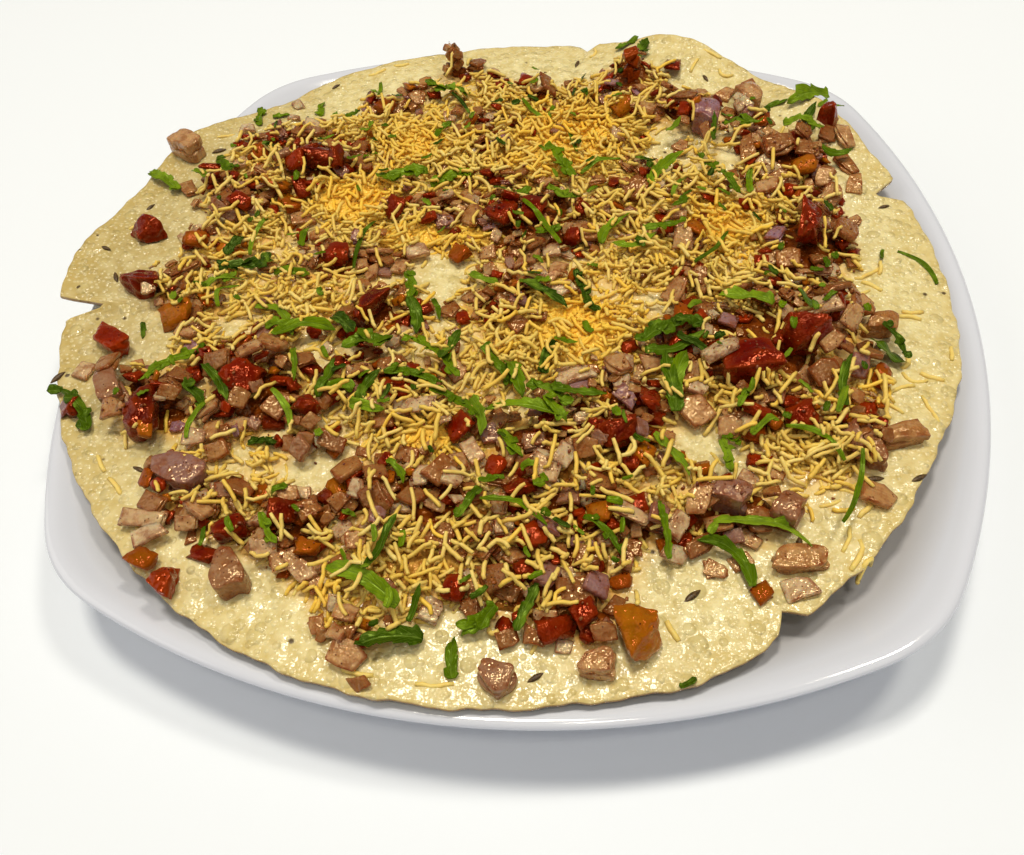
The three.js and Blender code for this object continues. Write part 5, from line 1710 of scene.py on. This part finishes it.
# A thin sheet laid along a line, as wide as its kind of edge says
def laySheet(bm, line, wide, kind, cells, rng):
    verts = bmesh.ops.create_grid(bm, x_segments=cells[0], y_segments=cells[1], size=0.5)["verts"]
    along = np.array([vert.co.x for vert in verts])
    side = np.array([vert.co.y for vert in verts]) * 2
    shares = np.linspace(-0.5, 0.5, len(line))
    places = np.column_stack([np.interp(along, shares, line[:, i]) for i in range(3)])
    ways = np.gradient(line, axis=0)
    way = np.column_stack([np.interp(along, shares, ways[:, i]) for i in range(2)])
    way /= np.linalg.norm(way, axis=1)[:, None]
    length = float(np.ptp(line[:, :2], axis=0).max())
    half = wide / 2 * leafEdge(kind, along, side, length, rng)
    fold = rng.uniform(0.0, 0.6)
    curl = rng.uniform(-0.5, 0.5) + rng.uniform(-0.8, 0.8) * along
    wave = 0.08 * wide * np.sin(along * rng.uniform(8, 16) + rng.uniform(0, 6)) * side
    lift = half * (fold * np.abs(side) + curl * side) + wave
    x = places[:, 0] - way[:, 1] * side * half * 0.93
    y = places[:, 1] + way[:, 0] * side * half * 0.93
    heights = ground[cellOf(y), cellOf(x)]
    z = np.maximum(places[:, 2] + lift, np.minimum(heights, places[:, 2] + 2.0) + coriander["clear"])
    writeVerts(verts, np.column_stack([x, y, z]))
    return verts, np.column_stack([along + 0.5, side / 2 + 0.5])


# A strip or shred is one sheet; a lobed leaf has side lobes on a narrow middle
def layLeaf(bm, line, wide, kind, rng):
    if kind == "shred":
        return laySheet(bm, line, wide, kind, (14, 2), rng)
    if kind == "strip":
        return laySheet(bm, line, wide, kind, (26, 4), rng)
    length = float(np.linalg.norm(line[-1] - line[0]))
    verts, places = laySheet(bm, line, wide * 0.6, "strip", (24, 4), rng)
    parts, spots = list(verts), [places]
    count = max(2, int(length / 3.4))
    ways = np.gradient(line, axis=0)
    for i in range(count):
        at = (i + rng.uniform(0.1, 0.7)) / count * (len(line) - 1)
        start = np.array([np.interp(at, range(len(line)), line[:, j]) for j in range(3)])
        way = math.atan2(*(float(np.interp(at, range(len(line)), ways[:, j])) for j in (1, 0)))
        turn = way + (-1) ** i * rng.uniform(0.5, 1.0)
        reach = wide * rng.uniform(0.45, 0.62)
        shares = np.linspace(-0.15, 1, 6)[:, None]
        branch = start + shares * reach * np.array(
            [math.cos(turn), math.sin(turn), rng.uniform(-0.1, 0.25)]
        )
        verts, places = laySheet(bm, branch, wide * rng.uniform(0.42, 0.64), "lobe", (8, 4), rng)
        parts += verts
        spots.append(places)
    return parts, np.concatenate(spots)


# The middle line of a leaf that lies over what is under it, stiff enough to bridge small gaps
def leafLine(x, y, length, turn, bow, rng, droop=2.2):
    at = np.linspace(-0.5, 0.5, 13)
    kink = rng.uniform(-0.3, 0.3)
    bend = rng.uniform(-0.5, 0.5)
    side = bow * (1 - 4 * at**2) + bend * length * np.maximum(at - kink, 0) * (1 - kink)
    c, s = math.cos(turn), math.sin(turn)
    px, py = x + at * length * c - side * s, y + at * length * s + side * c
    heights = np.array([ground[windowOf(px[i], py[i], 0.8)].max() for i in range(len(at))])
    heights = np.maximum(heights, heights.max() - droop)
    for _ in range(6):
        heights[1:-1] = (heights[:-2] + 2 * heights[1:-1] + heights[2:]) / 4
    return np.column_stack([px, py, heights + coriander["clear"]])


# Raises the ground where a leaf lies
def coverGround(verts):
    places = np.array([vert.co for vert in verts])
    np.maximum.at(
        ground, (cellOf(places[:, 1]), cellOf(places[:, 0])), places[:, 2] + coriander["thick"]
    )


def addLeafPiece(name, bm, tones, places, nodes):
    bm.verts.index_update()
    uvs = bm.loops.layers.uv.new("leaf")
    for face in bm.faces:
        for loop in face.loops:
            loop[uvs].uv = places[loop.vert.index]
    mesh = meshFrom(bm, name)
    setTone(mesh, "tone", tones)
    piece = addPiece(name, mesh, leafSkin, nodes)
    modifier = piece.modifiers.new("thickness", "SOLIDIFY")
    modifier.thickness = coriander["thick"] * mm
    modifier.offset = 0.0
    piece.modifiers.new("flatFaces", "WEIGHTED_NORMAL")


def makeLeaves():
    rng = np.random.default_rng(74)
    for number in numbersOf("leaf"):
        name = "leaf_%d" % number
        points = np.array([vert.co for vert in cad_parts[name].data.vertices]) / mm
        _, turn, _ = nodeSpot(name)
        way = np.array([math.cos(turn), math.sin(turn)])
        centre = points[:, :2].mean(0)
        along = (points[:, :2] - centre) @ way
        side = (points[:, :2] - centre) @ np.array([-way[1], way[0]])
        bowFit = np.polyfit(along, side, 2)
        liftFit = np.polyfit(along, points[:, 2], 4)
        at = np.linspace(along.min(), along.max(), 13)
        across = np.polyval(bowFit, at)
        px = centre[0] + at * way[0] - across * way[1]
        py = centre[1] + at * way[1] + across * way[0]
        line = np.column_stack([px, py, np.polyval(liftFit, at)])
        wide = np.ptp(side - np.polyval(bowFit, along))
        bm = bmesh.new()
        kind = coriander["kinds"].get(number, "lobed" if number % 2 else "strip")
        verts, places = layLeaf(bm, line, wide, kind, rng)
        coverGround(verts)
        addLeafPiece("leaf%d" % number, bm, np.full(len(verts), rng.uniform(0.1, 0.9)), places, [name])
    print("leaves made")


def makeMoreLeaves():
    rng = np.random.default_rng(85)
    bm = bmesh.new()
    tones, places = [], []
    for x, y, length, wide, turn, bow, kind in coriander["more"]:
        spot = seatSpot(x, y, max(riseAt(x, y), 0.8))
        line = leafLine(*spot, length, math.radians(turn), bow, rng)
        verts, spots = layLeaf(bm, line, wide, kind, rng)
        coverGround(verts)
        tones.append(np.full(len(verts), rng.random()))
        places.append(spots)
    addLeafPiece("corianderShreds", bm, np.concatenate(tones), np.concatenate(places), ["topping"])
    print("shreds made,", len(coriander["more"]))


def makeLeafBits():
    rng = np.random.default_rng(96)
    bm = bmesh.new()
    tones, places = [], []
    spots = drawSpots(masalaMap + 0.6 * sevMap, coriander["bits"], rng)
    for x, y in zip(*spots):
        line = leafLine(x, y, rng.uniform(1.5, 4.5), rng.uniform(0, fullTurn), 0, rng, 0.6)
        verts, spots = layLeaf(bm, line, rng.uniform(0.8, 2.2), "shred", rng)
        tones.append(np.full(len(verts), rng.random()))
        places.append(spots)
    addLeafPiece("corianderBits", bm, np.concatenate(tones), np.concatenate(places), ["topping"])
    print("leaf bits made")


def leafMaterial():
    sockets = {
        "Roughness": 0.3,
        "Specular IOR Level": 0.3,
        "Specular Tint": (0.7, 1.0, 0.2, 1.0),
        "Subsurface Weight": 0.1,
        "Subsurface Radius": (0.7, 1.0, 0.05),
        "Subsurface Scale": 0.0006,
    }
    material, tree, shader = newMaterial("corianderLeaf", sockets)
    vector = objectPlace(tree)
    stops = (
        (0.0, paint(28, 50, 0)),
        (0.3, paint(74, 100, 0)),
        (0.7, paint(116, 142, 0)),
        (1.0, paint(138, 164, 34)),
    )
    body = paintRamp(tree, attribute(tree, "tone"), stops)
    uv = addNode(tree, "ShaderNodeUVMap", uv_map="leaf").outputs["UV"]
    parts = addNode(tree, "ShaderNodeSeparateXYZ", {0: uv}).outputs
    off = calc(tree, "ABSOLUTE", calc(tree, "SUBTRACT", parts["Y"], 0.5))
    rib = ranged(tree, off, 0.07, 0.0)
    slant = calc(tree, "ADD", times(tree, parts["X"], 42.0), times(tree, off, -30.0))
    veins = ranged(tree, calc(tree, "SINE", slant), 0.75, 1.0)
    lines = calc(tree, "MAXIMUM", rib, times(tree, veins, 0.5))
    patchy = cloudy(tree, vector, body, mixPaint(tree, 0.6, body, paint(28, 52, 0)), 4.5, 2.6)
    # Painted sheen: cloudy patches lifted to pale green where the leaves catch the light
    pale = ranged(tree, cloud(tree, vector, 5.0, 2.0), 0.56, 0.7, 0.0, 0.6)
    patchy = mixPaint(tree, pale, patchy, paint(130, 160, 40))
    colour = mixPaint(tree, times(tree, lines, 0.4), patchy, paint(146, 172, 70))
    bump = addNode(tree, "ShaderNodeBump", {"Height": lines, "Distance": -0.15 * mm})
    joinSkin(tree, shader, colour, lumpy(tree, vector, 1.4, 0.15, bump.outputs["Normal"], 1.5))
    return material


# Cumin seeds and crumbs of spice

cumin = {
    "long": 4.6,
    "wide": 1.25,
    # x, y, turn
    "seeds": (
        (-117, 23, 60), (-124, 4, -20), (-84, -73, -20), (47, -96, 42), (-73, 90, 50),
        (11, 105, 80), (104, 31, 20), (16, -116, 35), (-116, -8, 120), (-60, 86, 70),
        (-104, 52, 30), (55, 97, -60), (-117, -46, 60), (28, -18, 30), (42, -70, 15), (94, 22, 40),
        (70, -82, 80), (88, -64, 10), (98, -63, 30),
    ),
}


def makeCumin():
    rng = np.random.default_rng(44)
    bm = bmesh.new()
    bmesh.ops.create_uvsphere(bm, u_segments=14, v_segments=10, radius=0.5)
    bmesh.ops.rotate(bm, verts=bm.verts, cent=(0, 0, 0), matrix=Matrix.Rotation(math.pi / 2, 3, "Y"))
    for vert in bm.verts:
        ridge = 1 + 0.16 * math.cos(7 * math.atan2(vert.co.z, vert.co.y))
        taper = 1 - 0.5 * abs(vert.co.x * 2) ** 2
        vert.co.y *= ridge * taper
        vert.co.z = vert.co.z * ridge * taper - 0.3 * vert.co.x**2
    shape = shapeFrom(bm)
    copies = []
    for listedX, listedY, turn in cumin["seeds"]:
        x, y = seatSpot(listedX, listedY, 0.6)
        size = np.array([cumin["long"], cumin["wide"], cumin["wide"] * 0.85]) * rng.uniform(0.75, 1.1)
        spin = np.array(Matrix.Rotation(math.radians(turn), 3, "Z"))
        foot = readField(waferTop, x, y)
        copies.append((shape[0] * size) @ spin.T + np.array([x, y, foot + 0.28]))
    mesh = joinCopies("cuminSeeds", [(np.array(copies), shape, rng.random(len(copies)))])
    material, tree, shader = newMaterial("cuminSeed", {"Roughness": 0.4})
    vector = objectPlace(tree)
    colour = cloudy(tree, vector, paint(46, 26, 10), paint(112, 84, 44), 0.5, 3.0)
    joinSkin(tree, shader, colour, lumpy(tree, vector, 0.4, 0.15))
    addPiece("cuminSeeds", mesh, material, ["papad"])
    print("cumin made")


crumbs = {"count": 2000, "smallest": 0.35, "largest": 1.2}


def makeCrumbs():
    rng = np.random.default_rng(12)
    bm = bmesh.new()
    bmesh.ops.create_icosphere(bm, subdivisions=1, radius=0.5)
    shape = shapeFrom(bm)
    count = crumbs["count"]
    near = softened(np.clip(masalaMap, 0, 1), 8) * coverMap
    x, y = drawSpots(near + 0.02 * coverMap, count, rng)
    smallest, largest = crumbs["smallest"], crumbs["largest"]
    sizes = smallest + (largest - smallest) * rng.random(count) ** 2.5
    heights = ground[cellOf(y), cellOf(x)]
    spread = rng.uniform(0.6, 1.2, (count, 1, 3)) * sizes[:, None, None]
    copies = shape[0][None] * spread * (1 + 0.25 * rng.normal(0, 1, (count, len(shape[0]), 1)))
    copies = copies + np.column_stack([x, y, heights + sizes * 0.2])[:, None]
    mesh = joinCopies("spiceCrumbs", [(copies, shape, rng.random(count))])
    material, tree, shader = newMaterial("spiceCrumb", {"Roughness": 0.35})
    stops = (
        (0.0, paint(84, 24, 4)),
        (0.5, paint(140, 70, 14)),
        (0.85, paint(190, 120, 44)),
        (1.0, paint(224, 178, 92)),
    )
    colour = paintRamp(tree, attribute(tree, "tone"), stops)
    colour = cloudy(tree, objectPlace(tree), colour, paint(110, 44, 12), 0.8, 1.5)
    tree.links.new(colour, shader.inputs["Base Color"])
    addPiece("spiceCrumbs", mesh, material, ["topping"])
    print("crumbs made")


# The whole

makeCamera()
makeStudio()
makePlate()
makeWafer()
onionSkin = onionMaterial()
tomatoSkin = tomatoMaterial()
sevSkin = sevMaterial()
leafSkin = leafMaterial()
soakedMap = (deepMap + 0.3 * sevMap) * bareMap * coverMap
loneStrands = singleStrands()
soakedStrands = scatterStrands("soaked", soakedMap, sev["soakedCount"], 107)
makeBed()
makeTomatoChunks()
makeOnionChunks()
makeChopped()
makeCrumbs()
crispMap = sevMap**1.15 * (1 - 0.55 * deepMap)
underLeaves = scatterStrands("crisp", crispMap, sev["underCount"], 109)
makeLeaves()
makeMoreLeaves()
makeLeafBits()
overLeaves = scatterStrands("crisp", crispMap, sev["overCount"], 118)
addStrands("soakedSev", [soakedStrands])
addStrands("crispSev", [loneStrands, underLeaves, overLeaves])
makeCumin()
